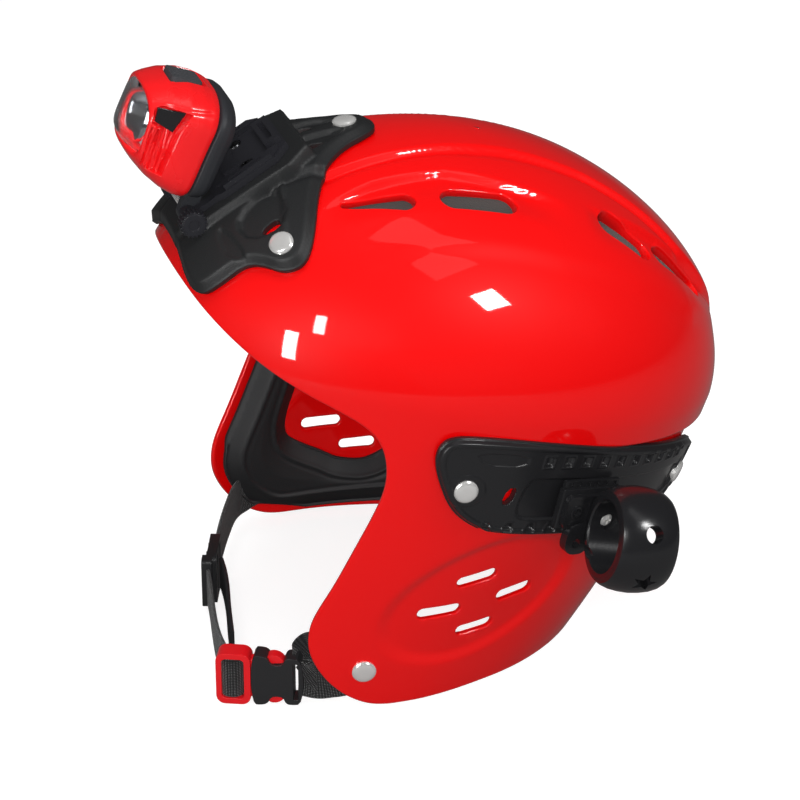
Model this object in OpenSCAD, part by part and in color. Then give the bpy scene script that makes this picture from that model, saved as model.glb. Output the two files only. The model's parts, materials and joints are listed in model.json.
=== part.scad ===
// Full-cut water rescue helmet with a forehead lamp and a side torch holder.
// Millimetres. Standing on its lower rim: Z up, face towards -Y, wearer's left towards +X.

/* [Shell] */
// Largest half width of the shell
half_width = 110; // [100:1:116]
// Length ahead of the crown axis
front_length = 138; // [130:1:142]
// Length behind the crown axis
back_length = 141; // [132:1:146]
// Dome height above the widest line
crown_height = 96; // [92:1:100]
// Wall thickness
shell_wall = 3; // [2.6:0.2:3.2]
// Nose-up tilt of the standing helmet, degrees
rest_tilt = 14; // [13:0.5:15]
// Height of the widest line above the floor
rest_height = 142; // [141:0.5:143]
// Inward step of the shell below the rear ledge
ledge_depth = 4; // [3:0.5:4.5]
// Height of the raised centre band
band_relief = 1.6; // [1:0.2:2]
// Half width of the vents
vent_r = 5; // [4:0.5:5.5]
// Half width of the ear slots
slot_r = 2.9; // [2.5:0.1:3.6]

/* [Padding] */
// Gap between shell wall and padding
pad_gap = 2.2; // [2:0.1:2.6]
// Thickness of the crown liner
liner_thick = 7; // [5:0.5:8]
// Thickness of the ear pads
ear_pad_thick = 9; // [7:0.5:10]

/* [Bracket and rails] */
// Thickness of the front bracket
bracket_thick = 3.4; // [3:0.2:3.6]
// Thickness of the side rails
rail_thick = 5; // [4.5:0.25:5.5]
// Rivet head radius
rivet_r = 5.5; // [5:0.25:6.5]

/* [Lamp] */
// Lamp width
lamp_w = 56; // [52:1:58]
// Lamp height
lamp_h = 48; // [46:1:50]
// Depth of the red front housing
lamp_front_d = 31; // [29:1:32]
// Depth of the black back housing
lamp_back_d = 10; // [9:1:11]
// Radius of the hinge pin
hinge_pin_r = 1.5; // [1.5:0.1:1.8]

/* [Torch ring] */
// Bore radius
ring_bore_r = 16; // [15.5:0.5:16.5]
// Radius at the middle of the barrel
ring_mid_r = 24; // [23:0.5:24.5]
// Radius at the ends of the barrel
ring_end_r = 21; // [20:0.5:21.5]
// Length of the barrel
ring_len = 28; // [26:1:29]

/* [Chin strap] */
// Webbing width
web_w = 20; // [19:0.5:21]
// Webbing thickness
web_t = 1.8; // [1.6:0.1:2]

/* [Hidden] */
dome_power = 1.91;
plan_power = 2.08;
lay_gap = 0.45;
ledge_z = -9;
running = 0.05;
pad_off = -shell_wall - pad_gap;
bracket_lean = 45;
bracket_seat = [0, -108, 60];
seat_w = 5;
hinge_at = [0, -131, 46];
lamp_lean = 6;
lamp_at = [0, -127, 57];
carriage_th = 112;
carriage_z = -37;
screw_y = 6;
screw_z = -2;
ring_stand = ring_mid_r + 7.2;
buckle_z = 13;
strap_z = 17;
ear_rivet_th = 78;
ear_rivet_z = -132;
strap_x = 91.5;

// ---- shell surface: th is degrees from the front, z is the height over the widest line ----

function ramp(x, a, b) = let (t = min(max((x - a) / (b - a), 0), 1)) t * t * (3 - 2 * t);
function dome_scale(z) = pow(1 - pow(min(max(z, 0) / crown_height, 1), dome_power), 1 / dome_power);
function below(z) = min(z, 0) / 100;
function side_at(z) = half_width * dome_scale(z) + 2 * below(z) - 4 * pow(below(z), 2);
function front_at(z) = front_length * dome_scale(z);
function back_at(z) = back_length * dome_scale(z) + 12 * below(z) - 13 * pow(below(z), 2);
function plan_k(th) = pow(pow(abs(sin(th)), plan_power) + pow(abs(cos(th)), plan_power),
                          -1 / plan_power);
function ledge(th, z) = ledge_depth * ramp(abs(th), 78, 112) * (1 - ramp(z, ledge_z - 4, ledge_z));
function raw_point(th, z) =
  let (k = plan_k(th), len = cos(th) > 0 ? front_at(z) : back_at(z))
  [side_at(z) * k * sin(th), -len * k * cos(th), z];
function unit(v) = v / norm(v);
function dome_normal(th, z) =
  z > crown_height - 0.2 ? [0, 0, 1]
  : unit(cross(raw_point(th + 0.5, z) - raw_point(th - 0.5, z),
               raw_point(th, z + 0.1) - raw_point(th, z - 0.1)));
function dome_point(th, z, off) =
  raw_point(th, z) + (off - ledge(th, z)) * dome_normal(th, z);
function to_row(p) =
  [p[0], p[1] * cos(rest_tilt) + p[2] * sin(rest_tilt),
   rest_height - p[1] * sin(rest_tilt) + p[2] * cos(rest_tilt)];
function wrap(th) = th > 180 ? th - 360 : th;

module head() {
  translate([0, 0, rest_height]) rotate([-rest_tilt, 0, 0]) children();
}

// Stands its children on the shell surface with their Z along the outward normal.
module on_shell(th, z, off = 0) {
  n = dome_normal(th, z);
  translate(dome_point(th, z, off)) rotate([0, acos(n[2]), atan2(n[1], n[0])]) children();
}

// Solid dome whose surface lies off the shell surface by off.
module dome(off, z_low = -170, cols = 60) {
  low = [z_low, -150, -130, -110, -90, -70, -50, -30, ledge_z - 4, ledge_z];
  high = [for (i = [0:14]) crown_height * sin(i * 6)];
  zs = concat([for (z = low) if (z == z_low || z > z_low + 5) z], high);
  rows = len(zs);
  points = concat([for (z = zs) for (i = [0:cols - 1]) dome_point(wrap(i * 360 / cols), z, off)],
                  [[0, 0, crown_height + off], [0, 0, z_low]]);
  top = rows * cols;
  walls = [for (r = [0:rows - 2]) for (i = [0:cols - 1]) let (j = (i + 1) % cols)
           for (t = [[r * cols + i, (r + 1) * cols + i, (r + 1) * cols + j],
                     [r * cols + i, (r + 1) * cols + j, r * cols + j]]) t];
  cap = [for (i = [0:cols - 1]) [(rows - 1) * cols + i, top, (rows - 1) * cols + (i + 1) % cols]];
  floor = [for (i = [0:cols - 1]) [i, (i + 1) % cols, top + 1]];
  polyhedron(points, concat(walls, cap, floor));
}

// Curved slab lying on the shell surface, between two offsets, from th0 to th1.
// low and high are lists of [th, z] that give its lower and upper edge.
module patch(low, high, off_in, off_out, th0, th1, cols, rows) {
  function at(u, v, off) =
    let (th = th0 + (th1 - th0) * u, a = lookup(th, low), b = lookup(th, high))
    dome_point(th, a + (b - a) * v, off);
  n = (cols + 1) * (rows + 1);
  points = [for (off = [off_out, off_in]) for (r = [0:rows]) for (c = [0:cols])
            at(c / cols, r / rows, off)];
  function id(c, r) = r * (cols + 1) + c;
  faces = [for (r = [0:rows - 1]) for (c = [0:cols - 1])
           let (a = id(c, r), b = id(c + 1, r), d = id(c, r + 1), e = id(c + 1, r + 1))
           for (f = [[a, e, b], [a, d, e], [n + a, n + b, n + e], [n + a, n + e, n + d]]) f];
  ends = [for (r = [0:rows - 1]) for (c = [0, cols])
          let (a = id(c, r), d = id(c, r + 1))
          for (f = c == 0 ? [[a, n + a, n + d], [a, n + d, d]] : [[a, n + d, n + a], [a, d, n + d]]) f];
  edges = [for (c = [0:cols - 1]) for (r = [0, rows])
           let (a = id(c, r), b = id(c + 1, r))
           for (f = r == 0 ? [[a, n + b, n + a], [a, b, n + b]] : [[a, n + a, n + b], [a, n + b, b]]) f];
  polyhedron(points, concat(faces, ends, edges));
}

// Capsule-shaped cutter between two points.
module slot_between(a, b, r) {
  hull() {
    translate(a) sphere(r, $fn = 14);
    translate(b) sphere(r, $fn = 14);
  }
}

module both_sides() {
  children();
  mirror([1, 0, 0]) children();
}

// ---- shell ----

// Side view of everything the shell leaves open below its rim.
module below_rim() {
  floor_slope = tan(rest_tilt);
  floor_z = -rest_height / cos(rest_tilt);
  rim = [[-170, 34], [-138, 25], [-133, 20], [-125, 14], [-114, 8], [-101, 2], [-86, -3], [-70, -7],
         [-58, -11], [-50, -17], [-45, -27], [-43, -39], [-45, -53], [-49, -72], [-53, -92],
         [-57, -107], [-58, -116], [-56, -126], [-50, -135], [-41, -143], [-30, -148],
         [-18, floor_z - 18 * floor_slope + 0.4], [-6, floor_z - 6 * floor_slope]];
  rotate([90, 0, 90])
    linear_extrude(2.4 * half_width, center = true)
      polygon(concat(rim, [[190, floor_z + 190 * floor_slope], [190, -230], [-170, -230]]));
}

module vents() {
  slot_between([45.5, -70, 72], [51.5, -47, 77.5], vent_r * 0.7);
  slot_between([52, -24, 82], [52.5, -1, 82.5], vent_r * 1.25);
  slot_between([46, 55, 77], [50, 72, 69], vent_r * 1.2);
  slot_between([43, 88, 63], [36, 110, 48], vent_r);
}

module ear_slots() {
  slot_between([104, 5.5, -82], [104, 19.5, -77.4], slot_r);
  slot_between([103, -9, -99.8], [103, 6, -96.2], slot_r);
  slot_between([102, 29.5, -89.6], [100, 42, -85.8], slot_r);
  slot_between([101, 12.8, -108.1], [100, 26, -104.4], slot_r);
}

// Plan view of the raised centre band.
module band_plan() {
  half = [[16, -126], [25, -90], [25, -60], [21, -25], [20, 10], [22, 55], [28, 95], [18, 128]];
  polygon(concat(half, [for (i = [len(half) - 1:-1:0]) [-half[i][0], half[i][1]]]));
}

module rivet_holes(r) {
  bracket_rivet_places() cylinder(h = 40, r = r, center = true, $fn = 24);
  rail_rivet_places() cylinder(h = 40, r = r, center = true, $fn = 24);
  both_sides() ear_rivet_place() cylinder(h = 40, r = r + 0.7, center = true, $fn = 24);
}

module bracket_rivet_places() {
  on_shell(0, 85) children();
  both_sides() on_shell(35.3, 49) children();
}

module rail_rivet_places() {
  both_sides() on_shell(86, -31) children();
  both_sides() on_shell(148, -36) children();
}

ear_rivet_row = to_row(dome_point(ear_rivet_th, ear_rivet_z, 0));

module ear_rivet_place() {
  on_shell(ear_rivet_th, ear_rivet_z) children();
}

module shell() {
  color([0.80, 0.02, 0.02]) head() difference() {
    union() {
      dome(0);
      intersection() {
        dome(band_relief);
        translate([0, 0, 20]) linear_extrude(crown_height) band_plan();
      }
    }
    dome(-shell_wall, -175);
    below_rim();
    both_sides() vents();
    both_sides() ear_slots();
    rivet_holes(2.3);
  }
}

// ---- padding ----

module liner_crown() {
  color([0.16, 0.16, 0.16]) head() difference() {
    intersection() {
      dome(pad_off, cols = 40);
      translate([0, 0, crown_height / 2 + 30]) cube([400, 400, crown_height], center = true);
    }
    dome(pad_off - liner_thick, -175, 40);
    both_sides() liner_channels();
  }
}

// Air channels moulded in the inner face of the crown liner.
module liner_channels() {
  slot_between([14, -70, 78], [14, 70, 76], 3);
  slot_between([40, -50, 71], [40, 60, 66], 3);
  slot_between([62, -30, 56], [62, 40, 54], 3);
  slot_between([80, -20, 33], [80, 30, 32], 3);
}

module liner_front() {
  color([0.05, 0.05, 0.05]) head()
    patch([[-38, 13], [-20, 21], [0, 24], [20, 21], [38, 13]], [[-38, 28], [38, 28]],
          pad_off - liner_thick - 1, pad_off, -38, 38, 14, 2);
}

module liner_rear() {
  color([0.05, 0.05, 0.05]) head()
    patch([[140, -92], [220, -92]], [[140, -22], [220, -22]],
          pad_off - liner_thick, pad_off, 140, 220, 14, 6);
}

module ear_pad() {
  low = [[76, -118], [82, -126], [92, -128], [104, -125], [120, -116], [134, -107]];
  high = [[76, -22], [134, -22]];
  difference() {
    patch(low, high, pad_off - ear_pad_thick, pad_off, 76, 134, 12, 8);
    rotate([90, 0, 90]) translate([0, 0, 60]) linear_extrude(60)
      polygon([[-14, -104], [2, -112], [36, -88], [30, -80], [-2, -70], [-20, -88]]);
  }
}

module ear_pad_left() {
  color([0.04, 0.04, 0.04]) head() ear_pad();
}

module ear_pad_right() {
  color([0.04, 0.04, 0.04]) head() mirror([1, 0, 0]) ear_pad();
}

// ---- front bracket ----

// Plane that leans back along the forehead: X across, Y up the slope, Z outwards.
module seat() {
  translate(bracket_seat) rotate([90 - bracket_lean, 0, 0]) children();
}

module bracket_outline() {
  half = [[0, 63], [6, 62], [11, 56], [16, 46], [26, 34.5], [39, 25.5], [52, 17], [61, 9], [64, 2],
          [62, -6], [56, -11], [51, -17], [49, -30], [44, -41], [34, -42], [16, -38], [0, -37]];
  polygon(concat(half, [for (i = [len(half) - 2:-1:1]) [-half[i][0], half[i][1]]]));
}

module bracket_windows() {
  both_sides() {
    window([9, 44], [8, 33], [16, 33]);
    window([48, 2], [42, 7], [43.5, -5.5]);
  }
}

module window(a, b, c) {
  hull() {
    for (p = [a, b, c]) translate([p[0], p[1], -40]) cylinder(h = 80, r = 1.2, $fn = 12);
  }
}

module front_bracket() {
  color([0.04, 0.04, 0.045]) head() difference() {
    union() {
      intersection() {
        dome(lay_gap + bracket_thick + band_relief);
        seat() linear_extrude(120, center = true) bracket_outline();
      }
      seat() translate([-21, -20, -12]) cube([42, 50, 12 + seat_w]);
    }
    dome(lay_gap + band_relief, -175);
    seat() bracket_windows();
    seat() both_sides() bracket_grooves();
    bracket_rivet_places() cylinder(h = 40, r = 2.3, center = true, $fn = 24);
    seat() base_screw_places() cylinder(h = 40, r = 1.7, center = true, $fn = 24);
  }
}

module bracket_grooves() {
  slot_between([25, 22, 1.6], [50, 10, -6.5], 1);
  slot_between([24, -16, 1.2], [44, -16, -5.2], 1);
}

module rivet(head_off, tail_off) {
  translate([0, 0, head_off]) {
    cylinder(h = 1.2, r = rivet_r, $fn = 40);
    translate([0, 0, 1.2]) cylinder(h = 0.8, r1 = rivet_r, r2 = rivet_r - 1.6, $fn = 40);
  }
  translate([0, 0, tail_off - 1]) cylinder(h = 1, r = 4.5, $fn = 32);
  translate([0, 0, tail_off - 0.5]) cylinder(h = head_off - tail_off + 1, r = 2, $fn = 24);
}

module bracket_rivets() {
  color([0.78, 0.78, 0.76]) head() bracket_rivet_places()
    rivet(lay_gap + bracket_thick + band_relief + 0.3, -shell_wall - 0.6);
}

// ---- side rails ----

module rail() {
  low = [[80, -22], [83, -38], [87, -48], [93, -53], [120, -54], [140, -50], [150, -46], [153, -42]];
  high = [[80, -14], [83, -13], [93, -13], [120, -14], [145, -20], [153, -26]];
  groove_low = [[88, -40], [95, -43], [145, -41]];
  groove_high = [[88, -27], [95, -25], [145, -29]];
  difference() {
    patch(low, high, lay_gap, lay_gap + rail_thick, 80, 153, 24, 4);
    patch(groove_low, groove_high, rail_thick - 1.6, rail_thick + 3, 96, 142, 14, 1);
    for (i = [0:9]) tooth(100 + i * 4, -19);
    for (i = [0:3]) tooth(92 + i * 4.4, -48.5);
    on_shell(95, -33) rail_window();
    rail_rivet_places() cylinder(h = 40, r = 2.3, center = true, $fn = 24);
  }
}

// Upright rounded slot near a long edge of the rail.
module tooth(th, z) {
  hull() {
    on_shell(th, z - 2, rail_thick) sphere(1.4, $fn = 10);
    on_shell(th, z + 2, rail_thick) sphere(1.4, $fn = 10);
  }
}

module rail_window() {
  hull() {
    for (y = [-3, 3]) translate([y, 0, -10]) cylinder(h = 30, r = 1.8, $fn = 12);
  }
}

module side_rail_left() {
  color([0.03, 0.03, 0.03]) head() rail();
}

module side_rail_right() {
  color([0.03, 0.03, 0.03]) head() mirror([1, 0, 0]) rail();
}

module rail_rivets() {
  color([0.78, 0.78, 0.76]) head() rail_rivet_places()
    rivet(lay_gap + rail_thick + 0.25, -shell_wall - 0.6);
}

// ---- torch holder ----

carriage_out = dome_normal(carriage_th, carriage_z);

module carriage_frame() {
  translate(dome_point(carriage_th, carriage_z, lay_gap + rail_thick))
    rotate([0, 0, atan2(carriage_out[1], carriage_out[0])]) children();
}

module torch_carriage() {
  color([0.04, 0.04, 0.04]) head() carriage_frame() difference() {
    union() {
      translate([1.6, -17, -9]) cube([3.6, 34, 20]);
      translate([-0.9, -9, -4]) cube([3, 18, 8]);
      translate([1.6, -17, 10]) cube([2.2, 34, 4]);
    }
    translate([2, screw_y, screw_z]) rotate([0, 90, 0]) cylinder(h = 20, r = 1.6, $fn = 32);
  }
}

module carriage_screw() {
  color([0.7, 0.7, 0.7]) head() carriage_frame() translate([2.6, screw_y, screw_z])
    rotate([0, 90, 0]) difference() {
      union() {
        cylinder(h = 9, r = 1.55, $fn = 32);
        translate([0, 0, 8.9]) cylinder(h = 2, r = 3.4, $fn = 32);
      }
      translate([0, 0, 9.6]) cylinder(h = 2, r = 1.5, $fn = 6);
    }
}

// Centre of the torch ring, turned so that a torch in it points straight ahead.
module ring_frame() {
  carriage_frame() translate([ring_stand, screw_y, screw_z])
    rotate([0, 0, -atan2(carriage_out[1], carriage_out[0])]) children();
}

module barrel_profile() {
  polygon([[ring_bore_r, -ring_len / 2], [ring_end_r, -ring_len / 2],
           [ring_mid_r - 0.5, -ring_len / 4], [ring_mid_r, -3], [ring_mid_r, 3],
           [ring_mid_r - 0.5, ring_len / 4], [ring_end_r, ring_len / 2],
           [ring_bore_r, ring_len / 2]]);
}

module star_cut() {
  linear_extrude(16)
    polygon([for (i = [0:9]) let (r = i % 2 == 0 ? 6 : 2.6) [r * sin(i * 36), r * cos(i * 36)]]);
}

module torch_ring() {
  color([0.03, 0.03, 0.03]) head() difference() {
    union() {
      ring_frame() rotate([90, 0, 0]) rotate_extrude($fn = 72) barrel_profile();
      carriage_frame() translate([5.3, -14, -8]) cube([3, 20, 16]);
      carriage_frame() translate([5.4, -1, -9]) cube([6, 14, 13.5]);
      carriage_frame() translate([5.5, -11, -20]) cube([4.2, 14, 13]);
    }
    ring_screw_line(4) cylinder(h = 20, r = 1.6, $fn = 32);
    ring_screw_line(11.4) cylinder(h = 14, r = 3.8, $fn = 32);
    ring_frame() rotate([0, 58, 0]) translate([0, 0, 12]) rotate(17)
      cylinder(h = 16, r = 4, $fn = 40);
    ring_frame() rotate([0, 115, 0]) translate([0, 1.2, 12]) rotate(11) star_cut();
    carriage_frame() translate([4, -8, 0]) rotate([0, 90, 0]) cylinder(h = 8, r = 2, $fn = 24);
    carriage_frame() translate([4, -5, -15]) rotate([0, 90, 0]) cylinder(h = 8, r = 2.2, $fn = 24);
  }
}

module ring_screw_line(x) {
  carriage_frame() translate([x, screw_y, screw_z]) rotate([0, 90, 0]) children();
}

// ---- lamp ----

// Leans the lamp back about its hinge.
module lamp_turn() {
  translate(hinge_at) rotate([-lamp_lean, 0, 0]) translate(-hinge_at) children();
}

module lamp_frame() {
  lamp_turn() translate(lamp_at) children();
}

// Rounded block: w across X, d along Y towards the front, h up, with corner radius r.
module block(w, d, h, r) {
  rotate([90, 0, 0]) linear_extrude(d) rounded(w, h, r);
}

module rounded(w, h, r) {
  translate([-w / 2 + r, 0]) square([w - 2 * r, h]);
  translate([-w / 2, r]) square([w, h - 2 * r]);
  for (x = [-w / 2 + r, w / 2 - r]) for (z = [r, h - r]) translate([x, z]) circle(r, $fn = 32);
}

module lamp_base_plate() {
  color([0.045, 0.045, 0.05]) head() difference() {
    union() {
      seat() translate([-20, -13, seat_w + 0.1]) cube([40, 40, 3]);
      seat() both_sides() translate([16, -4, seat_w + 3]) cube([4, 31, 3]);
      seat() translate([-10, 20, seat_w + 3]) cube([20, 7, 5]);
      both_sides() hinge_ear();
    }
    seat() base_screw_places() cylinder(h = 40, r = 1.7, $fn = 32);
    seat() translate([-6, 22, seat_w + 4]) cube([12, 3, 10]);
    translate(hinge_at) rotate([0, 90, 0])
      cylinder(h = 60, r = hinge_pin_r, center = true, $fn = 32);
  }
}

module hinge_ear() {
  translate([15, 0, 0]) {
    translate(hinge_at) rotate([0, 90, 0]) cylinder(h = 5, r = 4.2, $fn = 32);
  }
  seat() translate([15.2, -25, seat_w + 0.1]) cube([4.6, 13, 2.4]);
}

module base_screw_places() {
  for (x = [-12, 12]) translate([x, 8, 0]) children();
}

module base_screws() {
  color([0.6, 0.6, 0.6]) head() seat() base_screw_places() translate([0, 0, seat_w + 3.15])
    difference() {
      union() {
        cylinder(h = 2, r = 3.4, $fn = 32);
        translate([0, 0, -7]) cylinder(h = 8, r = 1.5, $fn = 32);
      }
      translate([0, 0, 1.6]) cube([4, 0.8, 1.6], center = true);
      translate([0, 0, 1.6]) cube([0.8, 4, 1.6], center = true);
    }
}

module lamp_hinge_pin() {
  color([0.7, 0.7, 0.7]) head() translate(hinge_at + [-21, 0, 0]) rotate([0, 90, 0])
    cylinder(h = 45.8, r = hinge_pin_r - running, $fn = 32);
}

module thumbwheel() {
  color([0.04, 0.04, 0.04]) head() translate(hinge_at + [22, 0, 0]) rotate([0, 90, 0])
    difference() {
      cylinder(h = 7, r = 6, $fn = 48);
      translate([0, 0, -1]) cylinder(h = 4, r = hinge_pin_r, $fn = 32);
      for (i = [0:17]) rotate(i * 20) translate([6.2, 0, -1]) cylinder(h = 9, r = 0.6, $fn = 12);
    }
}

module lamp_back_housing() {
  color([0.05, 0.05, 0.055]) head() difference() {
    union() {
      lamp_frame() block(lamp_w, lamp_back_d, lamp_h, 9);
      lamp_turn() both_sides() lamp_arm();
    }
    lamp_frame() translate([0, -2, 2.5]) block(lamp_w - 5, lamp_back_d, lamp_h - 5, 7);
    translate(hinge_at) rotate([0, 90, 0])
      cylinder(h = 60, r = hinge_pin_r, center = true, $fn = 32);
  }
}

module lamp_arm() {
  translate([9.5, 0, 0]) {
    translate(hinge_at) rotate([0, 90, 0]) cylinder(h = 5, r = 4, $fn = 32);
    translate([0, hinge_at[1] - 4, hinge_at[2]]) cube([5, 8, 13.5]);
  }
}

module lamp_front_housing() {
  color([0.80, 0.03, 0.03]) head() lamp_frame() difference() {
    translate([0, -lamp_back_d - 0.1, 0]) block(lamp_w, lamp_front_d, lamp_h, 9);
    translate([0, -lamp_back_d + 0.5, 2.5]) block(lamp_w - 5, lamp_front_d - 2.5, lamp_h - 5, 7);
    translate([0, -lamp_back_d - 5, 11]) block(44, lamp_front_d + 4, 27, 6);
    translate([0, -22, lamp_h - 4]) cylinder(h = 10, r = 7.5, $fn = 48);
    both_sides() translate([24, -38, 24]) cube([10, 13, 10]);
    for (i = [0:3]) both_sides() translate([lamp_w / 2 - 1.2, -38.5 + i * 3.6, 8]) cube([4, 2, 12]);
  }
}

module lamp_lens() {
  color([0.9, 0.95, 1, 0.35]) head() lamp_frame()
    translate([0, -lamp_back_d - lamp_front_d + 2.4, 11.1]) block(43.8, 4.5, 26.8, 5.9);
}

module lamp_reflector() {
  color([0.9, 0.9, 0.9]) head() lamp_frame() translate([0, -38, 24.5]) rotate([-90, 0, 0])
    rotate_extrude($fn = 48)
      polygon([[10.5, 0], [11.3, 0], [11.3, 1], [8.8, 7], [4, 11], [3, 11], [3, 10.3], [8, 6.2]]);
}

module lamp_led() {
  color([0.95, 0.9, 0.5]) head() lamp_frame() translate([0, -26.6, 24.5]) rotate([-90, 0, 0]) {
    cylinder(h = 1.2, r = 6, $fn = 32);
    translate([0, 0, -1]) cylinder(h = 1.1, r = 2, $fn = 32);
  }
}

module lamp_board() {
  color([0.05, 0.3, 0.1]) head() lamp_frame() translate([-20, -25, 8]) cube([40, 1.6, 30]);
}

module lamp_battery() {
  color([0.7, 0.7, 0.72]) head() lamp_frame() translate([0, -9, 9]) block(38, 12, 30, 3);
}

module lamp_side_window() {
  color([0.02, 0.02, 0.02]) head() lamp_frame() both_sides()
    translate([24.6, -37.6, 24.4]) cube([2.6, 12.2, 9.2]);
}

module lamp_button() {
  color([0.2, 0.2, 0.21]) head() lamp_frame() translate([0, -22, lamp_h - 3.4]) {
    cylinder(h = 4.8, r = 7.4, $fn = 48);
    for (i = [-2:2]) translate([-4, i * 2.2 - 0.5, 4.6]) cube([8, 1, 0.7]);
  }
}

// ---- chin strap ----

// Upright webbing band along a plan path, at height z.
module band(path, z, w = web_w) {
  n = len(path);
  function side(i) =
    let (d = unit(path[min(i + 1, n - 1)] - path[max(i - 1, 0)])) [-d[1], d[0]] * web_t / 2;
  translate([0, 0, z - w / 2]) linear_extrude(w)
    polygon(concat([for (i = [0:n - 1]) path[i] + side(i)],
                   [for (i = [n - 1:-1:0]) path[i] - side(i)]));
}

// Shank of the chin strap rivets, square to the mid plane so that the strap can swing.
module strap_axis(x0, x1, r) {
  translate([x0, ear_rivet_row[1], ear_rivet_row[2]]) rotate([0, 90, 0])
    cylinder(h = x1 - x0, r = r, $fn = 48);
}

module strap_rivets() {
  color([0.78, 0.78, 0.76]) both_sides() {
    head() ear_rivet_place() {
      translate([0, 0, 0.3]) cylinder(h = 1.2, r = rivet_r, $fn = 40);
      translate([0, 0, 1.5]) cylinder(h = 0.8, r1 = rivet_r, r2 = rivet_r - 1.6, $fn = 40);
    }
    strap_axis(strap_x - 2.2, ear_rivet_row[0] + 0.9, 2);
    strap_axis(strap_x - 2.6, strap_x - 1.2, 4.5);
  }
}

buckle_dir = unit([-14, -33]);
buckle_back = [84, -84];

module buckle_frame() {
  translate([buckle_back[0], buckle_back[1], buckle_z])
    rotate([0, 0, atan2(buckle_dir[1], buckle_dir[0])]) children();
}

module near_strap() {
  color([0.03, 0.03, 0.03]) difference() {
    band([[strap_x, -53], [strap_x - 0.2, -64.9], [88, -72.6], [buckle_back[0] + 0.6, buckle_back[1] + 1.5]],
         strap_z - 1);
    strap_axis(80, 100, 2 + running);
  }
}

module female_buckle() {
  color([0.03, 0.03, 0.03]) buckle_frame() difference() {
    translate([0, -4.5, -12]) cube([24, 9, 24]);
    translate([6, -3, -10]) cube([20, 6, 20]);
    translate([8, -6, -13]) cube([8, 12, 4]);
    translate([8, -6, 9]) cube([8, 12, 4]);
  }
}

module male_buckle() {
  color([0.75, 0.03, 0.03]) buckle_frame() {
    difference() {
      translate([24.2, -4.5, -12]) cube([15, 9, 24]);
      translate([27, -6, -10.2]) cube([4, 12, 20.4]);
      translate([33, -6, -10.2]) cube([3.4, 12, 20.4]);
    }
    for (z = [-9.5, 6.5]) translate([9, -2, z]) cube([16, 4, 3]);
    translate([12, -1.5, -1.5]) cube([13, 3, 3]);
  }
}

module far_strap_upper() {
  color([0.03, 0.03, 0.03]) difference() {
    band([[-strap_x, -53], [-strap_x, -64], [-88, -71], [-78, -78], [-60, -86], [-36, -95.5]],
         strap_z - 1);
    strap_axis(-100, -80, 2 + running);
  }
}

module far_strap_lower() {
  color([0.03, 0.03, 0.03])
    band([[-5, -104.5], [20, -110.5], [42, -114.5], [56, -113.8], [63.1, -112.8], [71.4, -116.3]],
         buckle_z);
}

module ladder_lock() {
  color([0.03, 0.03, 0.03]) translate([-22, -100.5, strap_z - 1]) rotate([0, 0, -19])
    difference() {
      translate([-13, -2.5, -12.5]) cube([26, 5, 25]);
      translate([-8, -6, -10.5]) cube([4, 12, 21]);
      translate([4, -6, -10.5]) cube([4, 12, 21]);
    }
}

module strap_tail() {
  color([0.03, 0.03, 0.03])
    band([[-8, -99], [4, -101.5], [26, -105.5], [50, -109]], strap_z - 1, web_w - 1);
}

shell();
liner_crown();
liner_front();
liner_rear();
ear_pad_left();
ear_pad_right();
front_bracket();
bracket_rivets();
side_rail_left();
side_rail_right();
rail_rivets();
strap_rivets();
near_strap();
female_buckle();
far_strap_upper();
far_strap_lower();
ladder_lock();
strap_tail();
male_buckle();
lamp_base_plate();
base_screws();
lamp_hinge_pin();
thumbwheel();
lamp_back_housing();
lamp_front_housing();
lamp_lens();
lamp_reflector();
lamp_led();
lamp_board();
lamp_battery();
lamp_side_window();
lamp_button();
torch_carriage();
carriage_screw();
torch_ring();
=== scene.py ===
"""Water rescue helmet with a forehead lamp and a torch ring: the looks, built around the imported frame."""

import json
import math

import bmesh
import bpy
import numpy as np
from mathutils import Matrix, Vector

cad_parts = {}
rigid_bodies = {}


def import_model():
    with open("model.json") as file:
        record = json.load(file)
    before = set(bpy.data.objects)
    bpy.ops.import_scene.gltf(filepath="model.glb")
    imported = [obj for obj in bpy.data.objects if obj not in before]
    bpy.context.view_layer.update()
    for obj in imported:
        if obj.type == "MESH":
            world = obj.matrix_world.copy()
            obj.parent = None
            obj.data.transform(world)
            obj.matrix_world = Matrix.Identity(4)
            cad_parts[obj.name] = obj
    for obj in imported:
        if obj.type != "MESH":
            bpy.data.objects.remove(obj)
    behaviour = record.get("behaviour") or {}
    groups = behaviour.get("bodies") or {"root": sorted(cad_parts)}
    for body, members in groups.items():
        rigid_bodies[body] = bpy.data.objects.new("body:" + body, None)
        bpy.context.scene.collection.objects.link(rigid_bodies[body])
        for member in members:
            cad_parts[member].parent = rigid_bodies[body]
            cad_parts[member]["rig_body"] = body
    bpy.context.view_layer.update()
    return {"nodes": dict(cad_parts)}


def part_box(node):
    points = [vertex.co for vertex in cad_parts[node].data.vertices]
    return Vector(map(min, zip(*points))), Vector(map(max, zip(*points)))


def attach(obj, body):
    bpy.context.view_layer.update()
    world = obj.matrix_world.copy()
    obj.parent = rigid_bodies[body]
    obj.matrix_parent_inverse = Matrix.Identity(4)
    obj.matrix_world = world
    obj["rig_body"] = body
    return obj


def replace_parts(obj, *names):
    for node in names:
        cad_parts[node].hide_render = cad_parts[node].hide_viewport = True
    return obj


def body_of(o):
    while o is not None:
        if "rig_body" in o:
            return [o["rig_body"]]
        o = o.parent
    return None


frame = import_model()

# ---- driving dimensions, in millimetres in the head frame unless the name says otherwise ----

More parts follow.
